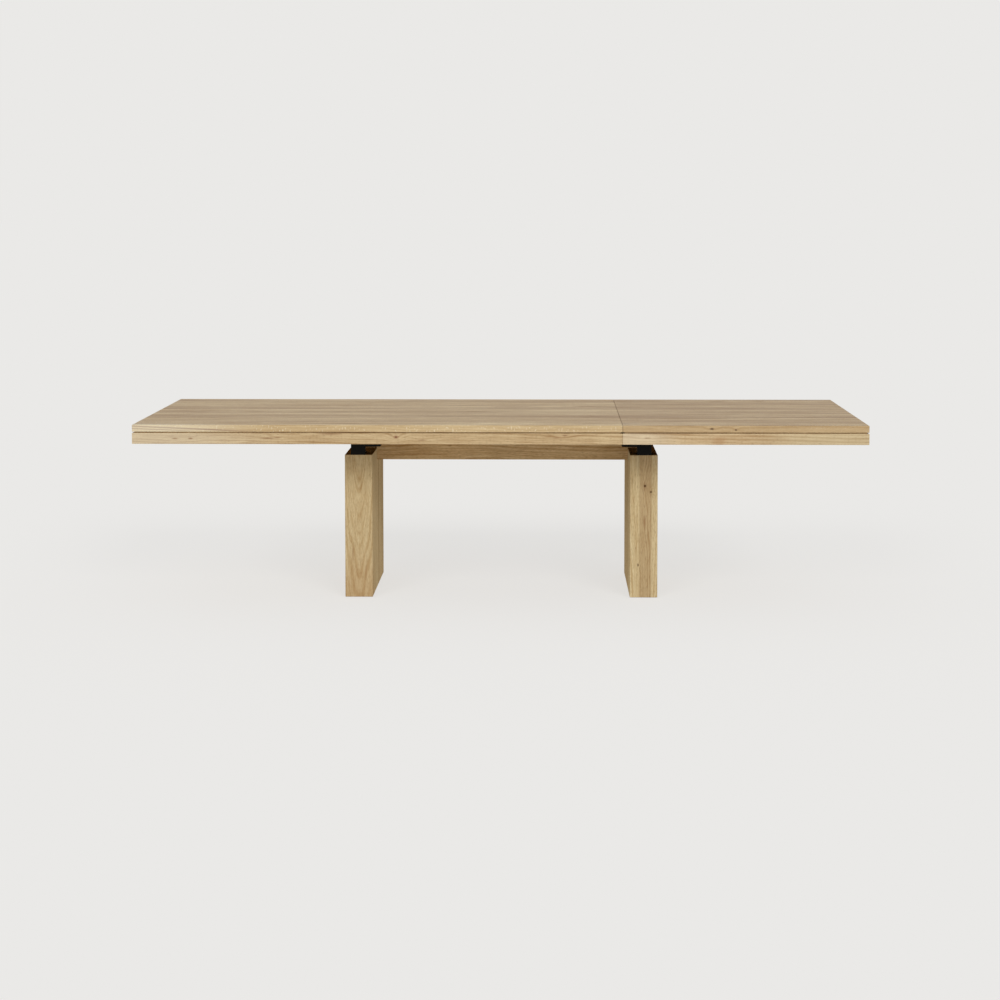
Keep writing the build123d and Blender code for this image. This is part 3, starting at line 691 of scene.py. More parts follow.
@dataclass(frozen=True)
class SawnOak(Timber):
    """Oak left unfinished under the top, where nobody looks: paler, drier and fully matt."""

    pale: str = "#D9C7A6"
    dark: str = "#B3966E"
    roughness: float = 0.75


@dataclass(frozen=True)
class TurnedBeech(Timber):
    """Beech turned on a lathe: even, pinkish, with short fine flecks and hardly any rings."""

    pale: str = "#DDBB92"
    dark: str = "#C49D72"
    ring_mm: float = 3.0
    figure: float = 0.6
    roughness: float = 0.55


@dataclass(frozen=True)
class SpeckledSkin:
    """A skin with one fine speckle in its colour, its gloss and its relief.

    Attributes:
        name: The finish's name.
        colour: Its colour.
        shade: Its colour in the speckle.
        speck_mm: A speck's size, drawn coarser than the real one so that it shows.
        gloss: The roughness, outside and inside a speck.
        relief: The relief's strength.
        relief_mm: The relief's depth.
        ior: The skin's index of refraction.
        sheen: How much light it throws back.
    """

    name: str
    colour: str
    shade: str
    speck_mm: float
    gloss: tuple[float, float]
    relief: float
    relief_mm: float
    ior: float = 1.5
    sheen: float = 0.5

    def make(self) -> bpy.types.Material:
        """Build the material.

        Returns:
            The finished skin.
        """
        material, tree, shader = start_material(self.name)
        place = add_node(tree, "TexCoord")
        specks = add_node(
            tree, "TexNoise", {}, {"Scale": 1 / (self.speck_mm * MM), "Detail": 2.0},
            {"Vector": place.outputs["Object"]},
        )
        colours = (self.colour, self.shade)
        texture(tree, shader, specks.outputs[0], colours, self.gloss, self.relief, self.relief_mm)
        shader.inputs["IOR"].default_value = self.ior
        shader.inputs["Specular IOR Level"].default_value = self.sheen
        return material


@dataclass(frozen=True)
class PowderCoatedSteel(SpeckledSkin):
    """Mild steel, powder coated matt black: a fine orange peel breaks up its dull sheen."""

    name: str = "powder_coated_steel"
    colour: str = "#080706"
    shade: str = "#100E0C"
    speck_mm: float = 1.4
    gloss: tuple[float, float] = (0.5, 0.68)
    relief: float = 0.3
    relief_mm: float = 0.1
    sheen: float = 0.12


@dataclass(frozen=True)
class MouldedNylon(SpeckledSkin):
    """Natural nylon, injection moulded: milky and waxy, with the faint spark texture of its tool."""

    name: str = "moulded_nylon"
    colour: str = "#E4E1D6"
    shade: str = "#CFCBBD"
    speck_mm: float = 0.9
    gloss: tuple[float, float] = (0.36, 0.5)
    relief: float = 0.2
    relief_mm: float = 0.08
    ior: float = 1.53


@dataclass(frozen=True)
class WorkedMetal:
    """A bare or plated metal with the fine lines that its making left.

    Attributes:
        name: The finish's name.
        colour: The metal's bright colour.
        dull: Its colour between the lines.
        roughness: Mean roughness.
        line_mm: A line's width, drawn at about four times its real size so that it shows.
        stretch: How many times longer than wide a line is.
        grain: The way the lines run.
        gloss_spread: How far the roughness strays from its mean.
        relief: The lines' strength as relief.
        relief_mm: Their depth.
    """

    name: str
    colour: str
    dull: str
    roughness: float
    line_mm: float = 0.6
    stretch: float = 40.0
    grain: Grain = Grain.ALONG_X
    gloss_spread: float = 0.1
    relief: float = 0.15
    relief_mm: float = 0.05

    def make(self) -> bpy.types.Material:
        """Build the material.

        Returns:
            The finished metal.
        """
        material, tree, shader = start_material(self.name)
        place = add_node(tree, "TexCoord")
        scale = [1 / (self.line_mm * MM)] * 3
        scale[self.grain.order[0]] /= self.stretch
        drawn = add_node(
            tree, "VectorMath", {"operation": "MULTIPLY"}, {1: scale}, {0: place.outputs["Object"]}
        )
        lines = add_node(
            tree, "TexNoise", {}, {"Scale": 1.0, "Detail": 2.0}, {"Vector": drawn.outputs[0]}
        )
        gloss = (self.roughness - self.gloss_spread, self.roughness + self.gloss_spread)
        colours = (self.colour, self.dull)
        texture(tree, shader, lines.outputs[0], colours, gloss, self.relief, self.relief_mm)
        shader.inputs["Metallic"].default_value = 1.0
        return material


@dataclass(frozen=True)
class ZincPlatedSteel(WorkedMetal):
    """Steel screws and bolts, bright zinc plated: cold and bluish, with a cloudy plated skin."""

    name: str = "zinc_plated_steel"
    colour: str = "#CDD1D6"
    dull: str = "#9DA3AA"
    roughness: float = 0.34
    line_mm: float = 1.5
    stretch: float = 1.0


@dataclass(frozen=True)
class DrawnAluminium(WorkedMetal):
    """Aluminium bar, cold drawn and clear anodised: satin, with long lines along the bar."""

    name: str = "drawn_aluminium"
    colour: str = "#D9DBDD"
    dull: str = "#B9BCBF"
    roughness: float = 0.38


@dataclass(frozen=True)
class TurnedBrass(WorkedMetal):
    """Brass bushes, turned: warm yellow, with fine rings around the bore."""

    name: str = "turned_brass"
    colour: str = "#D9B86B"
    dull: str = "#B08D45"
    roughness: float = 0.3
    grain: Grain = Grain.ALONG_Y


@dataclass(frozen=True)
class Board:
    """One board of a glued-up piece.

    Attributes:
        low: Its lower corner, in metres, as (x, y, z); None where the piece itself ends.
        high: Its upper corner in the same way.
        tone: How much lighter or darker than the mean it is.
        pith: Its pith, along and twice across the grain, from the finish's own pith, in metres.
    """

    low: tuple[float | None, float | None, float | None]
    high: tuple[float | None, float | None, float | None]
    tone: float
    pith: tuple[float, float, float]


@dataclass
class GluedPiece:
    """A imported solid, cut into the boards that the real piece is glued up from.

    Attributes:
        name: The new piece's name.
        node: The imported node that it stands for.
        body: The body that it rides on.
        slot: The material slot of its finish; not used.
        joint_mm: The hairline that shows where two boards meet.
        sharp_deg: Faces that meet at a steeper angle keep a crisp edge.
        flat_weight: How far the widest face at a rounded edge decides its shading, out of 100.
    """

    name: str
    node: str
    body: str
    slot: str
    joint_mm: float = 0.2
    sharp_deg: float = 35.0
    flat_weight: int = 100

    def build(self, boards: Sequence[Board], material: bpy.types.Material) -> None:
        """Cut the boards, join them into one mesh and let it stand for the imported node.

        Args:
            boards: The boards, which together fill the node.
            material: The boards' finish.
        """
        whole = bmesh.new()
        tone_of = whole.faces.layers.float.new("tone")
        pith_of = whole.faces.layers.float_vector.new("pith")
        for board in boards:
            known = len(whole.faces)
            self._add_board(whole, board)
            whole.faces.ensure_lookup_table()
            for face in whole.faces[known:]:
                face[tone_of] = board.tone
                face[pith_of] = Vector(board.pith)
        mesh = bpy.data.meshes.new(self.name)
        whole.to_mesh(mesh)
        whole.free()
        mesh.shade_smooth()
        mesh.set_sharp_from_angle(angle=math.radians(self.sharp_deg))
        piece = set_up(mesh, material)
        flats = piece.modifiers.new("flats_stay_flat", "WEIGHTED_NORMAL")
        flats.weight = self.flat_weight
        flats.keep_sharp = True
        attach(piece, self.body)
        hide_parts(self.node)
        log.info("%s: %d boards, %d faces", self.name, len(boards), len(mesh.polygons))

    def _add_board(self, whole: bmesh.types.BMesh, board: Board) -> None:
        """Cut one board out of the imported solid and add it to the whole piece.

        Args:
            whole: The mesh of all the boards.
            board: The board.
        """
        cut = bmesh.new()
        cut.from_mesh(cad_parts[self.node].data)
        bmesh.ops.remove_doubles(cut, verts=cut.verts[:], dist=SAME_POINT)
        half_joint = self.joint_mm / 2 * MM
        for axis in range(3):
            if board.low[axis] is not None:
                self._saw(cut, axis, board.low[axis] + half_joint, -1)
            if board.high[axis] is not None:
                self._saw(cut, axis, board.high[axis] - half_joint, 1)
        bmesh.ops.recalc_face_normals(cut, faces=cut.faces[:])
        scrap = bpy.data.meshes.new("scrap")
        cut.to_mesh(scrap)
        cut.free()
        whole.from_mesh(scrap)
        bpy.data.meshes.remove(scrap)

    def _saw(self, cut: bmesh.types.BMesh, axis: int, at: float, side: int) -> None:
        """Take away what lies beyond a plane, and close the cut.

        Args:
            cut: The board so far.
            axis: The axis across the plane.
            at: The plane's place on that axis, in metres.
            side: 1 to take away what lies above the plane, -1 for below.
        """
        point, normal = Vector((0, 0, 0)), Vector((0, 0, 0))
        point[axis] = at
        normal[axis] = side
        parts = cut.verts[:] + cut.edges[:] + cut.faces[:]
        sawn = bmesh.ops.bisect_plane(
            cut, geom=parts, dist=ON_THE_PLANE, plane_co=point, plane_no=normal, clear_outer=True
        )
        edges = [part for part in sawn["geom_cut"] if isinstance(part, bmesh.types.BMEdge)]
        bmesh.ops.triangle_fill(cut, use_beauty=True, edges=edges)


def dress(nodes: Iterable[str], material: bpy.types.Material) -> None:
    """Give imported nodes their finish.

    Args:
        nodes: The nodes' names.
        material: The finish.
    """
    for name in nodes:
        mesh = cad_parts[name].data
        mesh.materials.clear()
        mesh.materials.append(material)
        log.info("%s: %s", name, material.name)


@dataclass
class Workshop:
    """The finishes that several sub-assemblies share, each made once."""

    steel: bpy.types.Material = field(default_factory=lambda: PowderCoatedSteel().make())
    zinc: bpy.types.Material = field(default_factory=lambda: ZincPlatedSteel().make())
    aluminium: bpy.types.Material = field(default_factory=lambda: DrawnAluminium().make())
    brass: bpy.types.Material = field(default_factory=lambda: TurnedBrass().make())
    nylon: bpy.types.Material = field(default_factory=lambda: MouldedNylon().make())
    sawn_oak: bpy.types.Material = field(
        default_factory=lambda: SawnOak("sawn_oak", Grain.ALONG_Y, pith=(0.0, 0.33, 0.61)).make()
    )
    beech: bpy.types.Material = field(
        default_factory=lambda: TurnedBeech("turned_beech", Grain.ALONG_X).make()
    )


@dataclass
class LayeredTop:
    """What the main top and the leaf share: a glued panel, aprons, a shadow gap and battens.

    Attributes:
        label: The names' first word.
        body: The body that it rides on.
        tones: How much lighter or darker each board is, from the front.
        joints_mm: Where two boards meet, from the front edge.
        pith_offsets: Where the boards' piths lie in turn, in metres: sideways from a board's middle,
            and in depth.
        board_step: How far along its log each board is sawn from the last, in metres.
        flecks: How clearly the rays' flecks show on the panel's edges.
        edge_marks: Marks in the panel's front edge.
        edge_rings: Dark rings in the panel's front edge.
        apron_marks: Marks in the front apron.
        apron_pale: The front apron's pale wood.
        apron_dark: The front apron's ring wood.
        battens: How many battens it has.
    """

    label: str
    body: str
    tones: tuple[float, ...]
    joints_mm: tuple[float, ...] = (
        92.0, 180.0, 267.0, 355.0, 430.0, 509.0, 585.0, 666.0, 770.0, 871.0, 940.0
    )
    pith_offsets: tuple[tuple[float, float], ...] = (
        (0.02, 0.70), (-0.07, 0.66), (0.05, 0.58), (-0.01, 0.71), (0.09, 0.63),
    )
    board_step: float = 1.7
    flecks: float = 0.1
    edge_marks: tuple[Mark, ...] = ()
    edge_rings: tuple[DarkRing, ...] = ()
    apron_marks: tuple[Mark, ...] = ()
    apron_pale: str = "#DAC296"
    apron_dark: str = "#A17C4D"
    battens: int = 3

    def build(self, workshop: Workshop) -> None:
        """Cut the panel into boards and dress every other piece.

        Args:
            workshop: The shared finishes.
        """
        self._build_panel()
        self._dress_aprons()
        dress([f"{self.label}_batten_{number + 1}" for number in range(self.battens)], workshop.sawn_oak)
        dress([f"{self.label}_corner_blocks"], workshop.sawn_oak)
        dress([f"{self.label}_batten_screws"], workshop.zinc)

    def _build_panel(self) -> None:
        """Glue the panel up from boards that run along the table."""
        node = f"{self.label}_panel"
        low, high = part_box(node)
        sides = [low[1]] + [low[1] + joint * MM for joint in self.joints_mm] + [high[1]]
        edges = [None] + sides[1:-1] + [None]
        boards = []
        for number, tone in enumerate(self.tones):
            sideways, deep = self.pith_offsets[number % len(self.pith_offsets)]
            middle = (sides[number] + sides[number + 1]) / 2
            boards.append(
                Board(
                    (None, edges[number], None), (None, edges[number + 1], None), tone,
                    (number * self.board_step, middle + sideways, deep),
                )
            )
        oak = OiledOak(
            f"oiled_oak_{self.label}_panel", Grain.ALONG_X, pith=(0.0, 0.0, 0.0), lean=0.012, roughness=0.42,
            streak_mm=45.0, streak_stretch=14.0, figure=1.3, sheen=0.42, weights=(0.32, 0.25, 0.4, 0.7),
            flecks=self.flecks,
            marks=on_node(node, self.edge_marks), dark_rings=on_node(node, self.edge_rings),
        )
        GluedPiece(f"{self.label}_panel_boards", node, self.body, "oak_top").build(boards, oak.make())

    def _dress_aprons(self) -> None:
        """Finish the four aprons, each with the grain along its length, and the spacer."""
        front = OiledOak(
            f"oiled_oak_{self.label}_front", Grain.ALONG_X, self.apron_pale, self.apron_dark,
            pith=(0.4, -0.46, 0.63), lean=0.02, figure=0.8, wander_mm=12.0,
            marks=on_node(f"{self.label}_apron_front", self.apron_marks),
        )
        back = OiledOak(f"oiled_oak_{self.label}_back", Grain.ALONG_X, pith=(2.1, 0.44, 0.66), lean=-0.015)
        ends = OiledOak(f"oiled_oak_{self.label}_ends", Grain.ALONG_Y, pith=(0.7, 0.05, 0.64), lean=0.03)
        dress([f"{self.label}_apron_front"], front.make())
        dress([f"{self.label}_apron_back", f"{self.label}_spacer"], back.make())
        dress([f"{self.label}_apron_end", f"{self.label}_apron_seam"], ends.make())


@dataclass
class SlidingTop(LayeredTop):
    """The main top, which slides on the rails with its bushes, sliders and screws."""

    label: str = "main"
    body: str = "main_top"
    tones: tuple[float, ...] = (0.12, -0.03, 0.11, -0.10, 0.06, -0.06, 0.10, -0.12, 0.01, 0.07, -0.12, 0.0)
    flecks: float = 0.35
    edge_rings: tuple[DarkRing, ...] = (
        DarkRing((0.0, 0.023), (0.58, -0.002)), DarkRing((0.0, 0.013), (0.3, 0.002), 2.8)
    )
    edge_marks: tuple[Mark, ...] = (Mark((0.0, 0.0, 0.014), 60.0, 10.0, 0.45, "#EADFC4", swell=0.0),)
    apron_marks: tuple[Mark, ...] = (
        Mark((0.0, 0.0, 0.023), 80.0, 9.0, 0.35, "#EADFC4", swell=0.0),
        Mark((1.0776, 0.0, 0.03), 12.0, 1.2, 0.6, "#8A4F2A"),
        Mark((1.0776, 0.0, 0.0295), 5.5, 1.0, 0.8, "#5A2E17"),
        Mark((0.555, 0.0, 0.0245), 5.0, 9.0, 0.7, "#84552E"),
        Mark((0.595, 0.0, 0.0265), 5.0, 4.0, 0.6, "#84552E"),
        Mark((0.2394, 0.0, 0.0225), 5.0, 3.0, 0.7, "#84552E"),
        Mark((0.1761, 0.0, 0.0225), 4.5, 4.0, 0.6, "#84552E"),
        Mark((1.183, 0.0, 0.017), 4.5, 6.0, 0.55, "#84552E"),
        Mark((0.806, 0.0, 0.0425), 6.0, 12.0, 0.6, "#84552E"),
        Mark((1.7652, 0.0, 0.037), 4.5, 3.5, 0.7, "#84552E"),
        Mark((1.7286, 0.0, 0.027), 4.0, 6.0, 0.5, "#84552E"),
    )

    def build(self, workshop: Workshop) -> None:
        """Build the top and dress its running gear.

        Args:
            workshop: The shared finishes.
        """
        super().build(workshop)
        dress(["locator_bushes"], workshop.brass)
        dress(["sliders_front", "sliders_back"], workshop.nylon)
        dress(["slider_screws", "button_screws"], workshop.zinc)
        dress(["turn_button_front", "turn_button_back"], workshop.steel)


@dataclass
class EndLeaf(LayeredTop):
    """The loose end leaf, with its locating dowels and the pads that rest on the arms."""

    label: str = "leaf"
    body: str = "leaf"
    tones: tuple[float, ...] = (
        -0.07, -0.12, 0.02, -0.17, 0.0, -0.16, -0.03, -0.19, -0.02, -0.17, -0.05, -0.14
    )
    edge_marks: tuple[Mark, ...] = (
        Mark((0.3612, 0.0, 0.0147), 7.0, 1.8, 0.75), Mark((0.4585, 0.0, 0.0107), 5.5, 1.2, 0.8),
    )
    apron_marks: tuple[Mark, ...] = (
        Mark((0.0395, 0.0, 0.023), 60.0, 4.0, 0.3, "#EADFC4", swell=0.0),
        Mark((0.3895, 0.0, 0.013), 30.0, 1.4, 0.45, "#A0703F", swell=0.0),
        Mark((0.0995, 0.0, 0.027), 4.0, 5.0, 0.5, "#84552E"),
        Mark((0.8495, 0.0, 0.018), 70.0, 6.0, 0.3, "#C9BE98", swell=0.0),
    )
    apron_pale: str = "#DCC49A"
    apron_dark: str = "#A88355"

    def build(self, workshop: Workshop) -> None:
        """Build the leaf and dress its dowels and pads.

        Args:
            workshop: The shared finishes.
        """
        super().build(workshop)
        dress(["locator_dowels"], workshop.beech)
        dress(["leaf_pads"], workshop.nylon)


@dataclass
class SlabBase:
    """Two slab legs glued up from upright boards, the beam between them and the floor glides.

    Attributes:
        depth_joints_mm: Where the boards of the right leg meet, from its front face back.
        left_joints_mm: The same for the left leg, which has one narrow stave more.
        layer_joints_mm: Where the layers of the right leg meet, from its inner face out.
        left_tones: How much lighter or darker the left leg's boards are, from the front.
        left_steps: How far one board's pith lies from the last's, along and twice across, in metres.
        right_tones_and_painted_shade: The tones of the right leg's boards, layer by layer; the inner layer's
            back boards are darker, partly the wood's tone and partly painted shade on the leg's inner face.
        board_steps: The steps from board to board in the right leg, in the same way.
        layer_steps: The steps from layer to layer.
        left_marks_and_painted_shade: Marks in the left leg's front face; the first is painted shade, a brown
            patch that darkens the foot near the floor.
        leg_pale: The legs' pale wood.
        leg_dark: The legs' ring wood.
        leg_marks: Marks in the right leg's front face.
    """

    depth_joints_mm: tuple[float, ...] = (139.0, 300.0, 412.0)
    left_joints_mm: tuple[float, ...] = (139.0, 272.0, 296.0, 412.0)
    layer_joints_mm: tuple[float, ...] = (40.0, 90.0)
    left_tones: tuple[float, ...] = (0.03, 0.06, -0.34, 0.04, -0.05)
    left_steps: tuple[float, float, float] = (0.9, 0.01, 0.17)
    # The inner layer's three back boards are darker: partly the wood's tone, partly painted shade on the
    # leg's inner face.
    right_tones_and_painted_shade: tuple[tuple[float, ...], ...] = (
        (0.12, -0.06, -0.05, -0.08), (-0.18, 0.02, -0.05, 0.0), (0.11, -0.04, 0.03, -0.02),
    )
    board_steps: tuple[float, float, float] = (0.7, 0.0, 0.17)
    layer_steps: tuple[float, float, float] = (1.1, 0.05, 0.0)
    left_marks_and_painted_shade: tuple[Mark, ...] = (
        # Painted shade near the floor: a broad brown patch that darkens the leg's foot, most at the bottom.
        Mark((0.058, 0.0, -0.003), 150.0, 1.8, 0.3, "#9A6B3C", swell=0.0),
        Mark((0.033, 0.0, 0.187), 5.0, 9.0, 0.4, "#84552E"),
        Mark((0.088, 0.0, 0.107), 5.0, 9.0, 0.35, "#84552E"),
    )
    leg_pale: str = "#DCCAA1"
    leg_dark: str = "#A38152"
    leg_marks: tuple[Mark, ...] = (
        Mark((0.0625, 0.0, 0.4731), 14.0, 2.2, 0.35, "#84552E"),
        Mark((0.0625, 0.0, 0.4731), 7.5, 1.1),
        Mark((0.0877, 0.0, 0.4477), 6.8, 1.1, 0.85),
        Mark((0.0342, 0.0, 0.1381), 5.5, 1.8, 0.7),
        Mark((0.061, 0.0, 0.322), 10.0, 4.0, 0.4, "#84552E"),
    )

    def build(self, workshop: Workshop) -> None:
        """Cut the legs into boards and dress the beam, its screws and the glides.

        Args:
            workshop: The shared finishes.
        """
        self._build_left_leg()
        self._build_right_leg()
        # Painted light: the beam's oak is paler than the other oak, to stand in for the light that the shade
        # under the top takes away.
        beam = OiledOak(
            "oiled_oak_beam_painted_light", Grain.ALONG_X, "#EACB9A", "#AE834E", pith=(1.3, 0.02, 0.5), lean=0.02,
            figure=0.7, sheen=0.0
        )
        dress(["beam"], beam.make())
        dress(["beam_lag_screws"], workshop.zinc)
        dress(["floor_glides"], workshop.nylon)

    def _depth_edges(self, node: str, joints_mm: tuple[float, ...]) -> list[float | None]:
        """The joints between a leg's boards, as places along Y.

        Args:
            node: The leg's node.
            joints_mm: The joints, from its front face.

        Returns:
            The joints in metres, between two Nones for the leg's own faces.
        """
        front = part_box(node)[0][1]
        return [None] + [front + joint * MM for joint in joints_mm] + [None]

    def _build_left_leg(self) -> None:
        """Glue the left leg up from deep boards; the front one is flat-sawn, with flames."""
        edges = self._depth_edges("leg_left", self.left_joints_mm)
        boards = []
        for n, tone in enumerate(self.left_tones):
            along, across, deep = (n * step for step in self.left_steps)
            boards.append(
                Board((None, edges[n], None), (None, edges[n + 1], None), tone, (along, across, deep))
            )
        oak = OiledOak(
            "oiled_oak_left_leg", Grain.ALONG_Z, self.leg_pale, self.leg_dark, pith=(0.6, -0.597, -0.235),
            lean=0.09, ring_mm=5.0, band_mm=24.0,
            streak_mm=16.0, line_mm=4.5, wander_mm=12.0, figure=0.5, sheen=0.0,
            marks=on_node("leg_left", self.left_marks_and_painted_shade),
        )
        GluedPiece("leg_left_boards", "leg_left", "base", "oak_base").build(boards, oak.make())

    def _build_right_leg(self) -> None:
        """Glue the right leg up from three layers, each of four boards set off from the next."""
        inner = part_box("leg_right")[0][0]
        across = [None] + [inner + joint * MM for joint in self.layer_joints_mm] + [None]
        edges = self._depth_edges("leg_right", self.depth_joints_mm)
        boards = []
        for layer, tones in enumerate(self.right_tones_and_painted_shade):
            for n, tone in enumerate(tones):
                low = (across[layer], edges[n], None)
                high = (across[layer + 1], edges[n + 1], None)
                steps = zip(self.layer_steps, self.board_steps)
                along, sideways, deep = (layer * by_layer + n * by_board for by_layer, by_board in steps)
                boards.append(Board(low, high, tone, (along, sideways, deep)))
        oak = OiledOak(
            "oiled_oak_right_leg", Grain.ALONG_Z, self.leg_pale, self.leg_dark, pith=(0.3, 0.5, -0.33),
            lean=0.05, ring_mm=5.0, band_mm=20.0,
            streak_mm=16.0, line_mm=4.5, wander_mm=8.0, figure=0.5, sheen=0.0,
            marks=on_node("leg_right", self.leg_marks),
        )
        GluedPiece("leg_right_boards", "leg_right", "base", "oak_base").build(boards, oak.make())


@dataclass
class RunnerFrame:
    """The black steel between legs and top: brackets, ties, rails and the arms' sleeves.

    Attributes:
        bead_mm: The leg length of a fillet weld.
        ripple_mm: How far apart a weld's ripples are.
        ripple_height: How far a ripple stands up, as a share of the weld.
        ripple_steps: How many sections draw one ripple.
        arc_steps: How many flats draw the weld's round.
        hollow: How far its round sinks in between its two toes, as a share of its size.
        bead_inset_mm: How far a weld stops short of its plate's end.
        end_size: How thick it is where it starts, as a share of its size.
        end_rise: How fast it thickens from there, in sizes over its length.
        post_mm: The post's width along the table.
        post_depth_mm: The post's depth.
        foot_mm: The foot plate's thickness.
        head_mm: The head plate's thickness.
    """

    bead_mm: float = 4.0
    ripple_mm: float = 2.4
    ripple_height: float = 0.07
    ripple_steps: int = 6
    arc_steps: int = 6
    hollow: float = 0.18
    bead_inset_mm: float = 3.0
    end_size: float = 0.45
    end_rise: float = 12.0
    post_mm: float = 60.0
    post_depth_mm: float = 28.0
    foot_mm: float = 5.0
    head_mm: float = 8.0

    def build(self, workshop: Workshop) -> None:
        """Dress the frame and lay the welds on its brackets.

        Args:
            workshop: The shared finishes.
        """
        brackets = [f"bracket_{side}_{end}" for side in ("left", "right") for end in ("front", "back")]
        dress(brackets, workshop.steel)
        dress([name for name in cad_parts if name.startswith("cross_tie_")], workshop.steel)
        dress(["rail_front", "rail_back", "arm_sleeve_front", "arm_sleeve_back"], workshop.steel)
        dress(["bracket_screws", "tie_screws", "rail_bolts", "sleeve_bolts"], workshop.zinc)
        dress(["rail_end_stops"], workshop.nylon)
        for name in brackets:
            self._weld(name, workshop.steel)

    def _weld(self, bracket: str, material: bpy.types.Material) -> None:
        """Lay a bead along the post's inner face, on the foot plate and under the head plate.

        Args:
            bracket: The bracket's node.
            material: The powder coat that covers bracket and bead alike.
        """
        low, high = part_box(bracket)
        end = 1 if low[1] > 0 else -1
        outer = high[1] if end > 0 else low[1]
        wall = outer - end * self.post_depth_mm * MM
        outside = 1 if low[0] > 0 else -1
        width = self.post_mm * MM
        post = (high[0] - width, high[0]) if outside > 0 else (low[0], low[0] + width)
        start, stop = post[0] + self.bead_inset_mm * MM, post[1] - self.bead_inset_mm * MM
        bead = bmesh.new()
        for level, up in ((low[2] + self.foot_mm * MM, 1), (high[2] - self.head_mm * MM, -1)):
            self._lay_bead(bead, start, stop, Vector((0, wall, level)), -end, up)
        bmesh.ops.recalc_face_normals(bead, faces=bead.faces[:])
        mesh = bpy.data.meshes.new(f"{bracket}_welds")
        bead.to_mesh(mesh)
        bead.free()
        mesh.shade_smooth()
        piece = set_up(mesh, material)
        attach(piece, "base")
        log.info("%s_welds: 2 beads", bracket)

    def _lay_bead(
        self, bead: bmesh.types.BMesh, start: float, stop: float, corner: Vector, out: int, up: int
    ) -> None:
        """Sweep a rippled quarter-round along X in the corner between a wall and a plate.

        Args:
            bead: The mesh that takes the bead.
            start: Where it starts along X, in metres.
            stop: Where it stops.
            corner: A point in the corner; its Y and Z are used.
            out: The way from the wall, along Y.
            up: The way from the plate, along Z.
        """
        steps = round((stop - start) / (self.ripple_mm / self.ripple_steps * MM))
        rings = []
        for step in range(steps + 1):
            x = start + (stop - start) * step / steps
            turn = 2 * math.pi * (x - start) / (self.ripple_mm * MM)
            ends = min(1.0, self.end_size + self.end_rise * min(step, steps - step) / steps)
            size = self.bead_mm * MM * ends * (1 + self.ripple_height * math.cos(turn))
            ring = [bead.verts.new((x, corner.y, corner.z))]
            for point in range(self.arc_steps + 1):
                angle = math.pi / 2 * point / self.arc_steps
                swell = 1 - self.hollow + self.hollow * abs(math.cos(2 * angle))
                y = corner.y + out * size * math.cos(angle) * swell
                z = corner.z + up * size * math.sin(angle) * swell
                ring.append(bead.verts.new((x, y, z)))
            rings.append(ring)
        for first, second in zip(rings, rings[1:]):
            for n in range(len(first)):
                bead.faces.new((first[n], first[n - 1], second[n - 1], second[n]))
        bead.faces.new(rings[0])
        bead.faces.new(rings[-1])


@dataclass
class SupportArms:
    """The two aluminium arms and the bridge that joins them."""

    def build(self, workshop: Workshop) -> None:
        """Dress the arms, the bridge and its bolts.

        Args:
            workshop: The shared finishes.
        """
        dress(["support_arm_front", "support_arm_back"], workshop.aluminium)
        bridge = DrawnAluminium("drawn_aluminium_bridge", grain=Grain.ALONG_Y).make()
        dress(["arm_bridge"], bridge)
        dress(["bridge_bolts"], workshop.zinc)


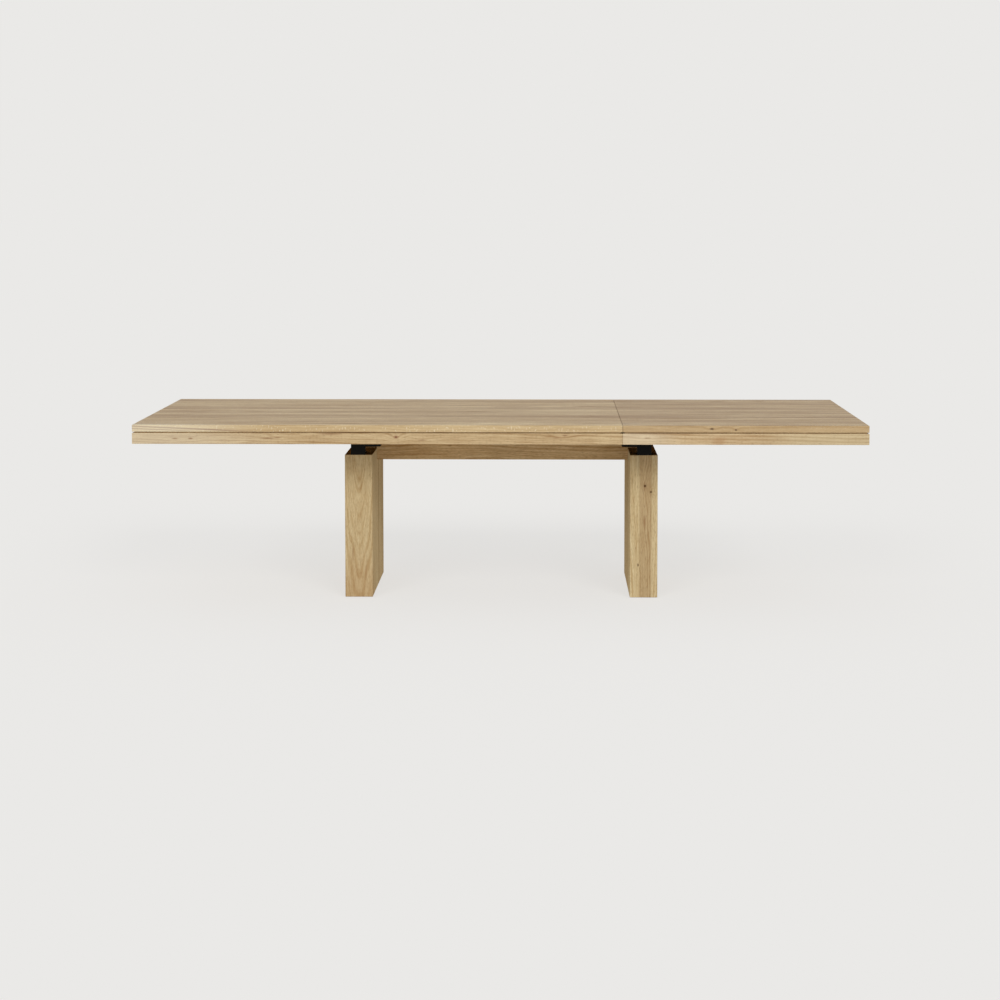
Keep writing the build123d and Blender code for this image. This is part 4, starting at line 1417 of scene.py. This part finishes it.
@dataclass
class Studio:
    """A pale paper floor without an edge in sight, soft lamps in front, and the camera.

    Attributes:
        paper: The colour of floor and air.
        paper_glow: How much of the floor's brightness is its own; the rest takes shadows.
        paper_bounce: How bright that glow is for the table; where it is seen, it makes up the
            paper's colour.
        floor_side: The floor's length and width, in metres.
        air: How bright the air around the table is.
        air_colour: The colour of its light.
        right_lamp: The right lamp's light, in watts per square metre.
        left_lamp: The left lamp's light.
        lamp_side_deg: How far to either side of the table's front they hang.
        lamp_up_deg: How high they hang.
        lamp_soft_deg: How wide each lamp looks from the table.
        camera_place: The camera's place, in metres.
        camera_left_deg: How far to the left it looks.
        camera_down_deg: How far down it looks.
        lens_mm: Its focal length.
        sensor_mm: Its sensor's width.
        sight: How far it sees, in metres.
        lens_shift: How far its lens is shifted sideways and up, in sensor widths.
    """

    paper: str = "#EAE9E7"
    paper_glow: float = 0.72
    paper_bounce: float = 0.88
    floor_side: float = 400.0
    air: float = 0.55
    air_colour: str = "#FFFFFF"
    right_lamp: float = 0.87
    left_lamp: float = 0.64
    lamp_side_deg: float = 28.0
    lamp_up_deg: float = 32.0
    lamp_soft_deg: float = 24.0
    camera_place: tuple[float, float, float] = (0.1743, -7.8048, 1.6436)
    camera_left_deg: float = 0.721
    camera_down_deg: float = 3.0
    lens_mm: float = 65.03
    sensor_mm: float = 36.0
    sight: float = 600.0
    lens_shift: tuple[float, float] = (-0.02, -0.1976)

    def build(self) -> None:
        """Lay the floor, light it and set the camera."""
        self._lay_floor()
        self._fill_air()
        self._hang_lamp("soft_lamp_right", self.lamp_side_deg, self.right_lamp)
        self._hang_lamp("soft_lamp_left", -self.lamp_side_deg, self.left_lamp)
        self._set_camera()
        settings = bpy.context.scene.view_settings
        settings.view_transform = "Standard"
        settings.look = "None"
        log.info("studio: floor, air, two lamps and the camera")

    def _lay_floor(self) -> None:
        """Lay a floor that mostly glows evenly, so that only soft shadows show on it."""
        material = bpy.data.materials.new("matt_paper")
        material.use_nodes = True
        tree = material.node_tree
        tree.nodes.clear()
        matt = add_node(tree, "BsdfDiffuse", {}, {"Color": linear(self.paper)})
        rays = add_node(tree, "LightPath")
        lamps = (self.right_lamp + self.left_lamp) * math.sin(math.radians(self.lamp_up_deg)) / math.pi
        missing = 1 - (1 - self.paper_glow) * (self.air + lamps)
        bright = add_node(
            tree, "MapRange", {}, {"To Min": self.paper_bounce, "To Max": missing / self.paper_glow},
            {"Value": rays.outputs["Is Camera Ray"]},
        )
        glow = add_node(tree, "Emission", {}, {"Color": linear(self.paper)}, {"Strength": bright.outputs[0]})
        both = add_node(
            tree, "MixShader", {}, {"Fac": self.paper_glow}, {1: matt.outputs[0], 2: glow.outputs[0]}
        )
        add_node(tree, "OutputMaterial", links={"Surface": both.outputs[0]})
        half = self.floor_side / 2
        mesh = bpy.data.meshes.new("paper_floor")
        corners = [(-half, -half, 0), (half, -half, 0), (half, half, 0), (-half, half, 0)]
        mesh.from_pydata(corners, [], [(0, 1, 2, 3)])
        floor = set_up(mesh, material)

    def _fill_air(self) -> None:
        """Fill the air with even light; where it is seen, it has the floor's own colour."""
        world = bpy.data.worlds.new("studio_air")
        bpy.context.scene.world = world
        world.use_nodes = True
        tree = world.node_tree
        tree.nodes.clear()
        seen = add_node(tree, "Background", {}, {"Color": linear(self.paper), "Strength": 1.0})
        lit = add_node(tree, "Background", {}, {"Color": linear(self.air_colour), "Strength": self.air})
        rays = add_node(tree, "LightPath")
        both = add_node(
            tree, "MixShader", {}, {},
            {0: rays.outputs["Is Camera Ray"], 1: lit.outputs[0], 2: seen.outputs[0]}
        )
        add_node(tree, "OutputWorld", links={"Surface": both.outputs[0]})

    def _hang_lamp(self, name: str, side_deg: float, strength: float) -> None:
        """Hang a broad far lamp in front of the table.

        Args:
            name: The lamp's name.
            side_deg: How far to the right of straight in front it hangs.
            strength: Its light on a surface that faces it, in watts per square metre.
        """
        lamp = bpy.data.lights.new(name, "SUN")
        lamp.energy = strength
        lamp.angle = math.radians(self.lamp_soft_deg)
        holder = bpy.data.objects.new(name, lamp)
        holder.rotation_euler = (math.radians(90 - self.lamp_up_deg), 0.0, math.radians(side_deg))
        bpy.context.scene.collection.objects.link(holder)

    def _set_camera(self) -> None:
        """Set the camera where the table shows its front, its top and a little of its inside."""
        lens = bpy.data.cameras.new("camera")
        lens.lens = self.lens_mm
        lens.sensor_width = self.sensor_mm
        lens.shift_x, lens.shift_y = self.lens_shift
        lens.clip_end = self.sight
        camera = bpy.data.objects.new("camera", lens)
        camera.location = self.camera_place
        camera.rotation_euler = (
            math.radians(90 - self.camera_down_deg), 0.0, math.radians(self.camera_left_deg)
        )
        bpy.context.scene.collection.objects.link(camera)
        bpy.context.scene.camera = camera


def main() -> None:
    """Build the studio and every sub-assembly."""
    logging.basicConfig(level=logging.INFO, format="%(message)s")
    Studio().build()
    workshop = Workshop()
    for part in (SlidingTop(), EndLeaf(), SlabBase(), RunnerFrame(), SupportArms()):
        log.info("building %s", type(part).__name__)
        part.build(workshop)


if __name__ == "__main__":
    main()
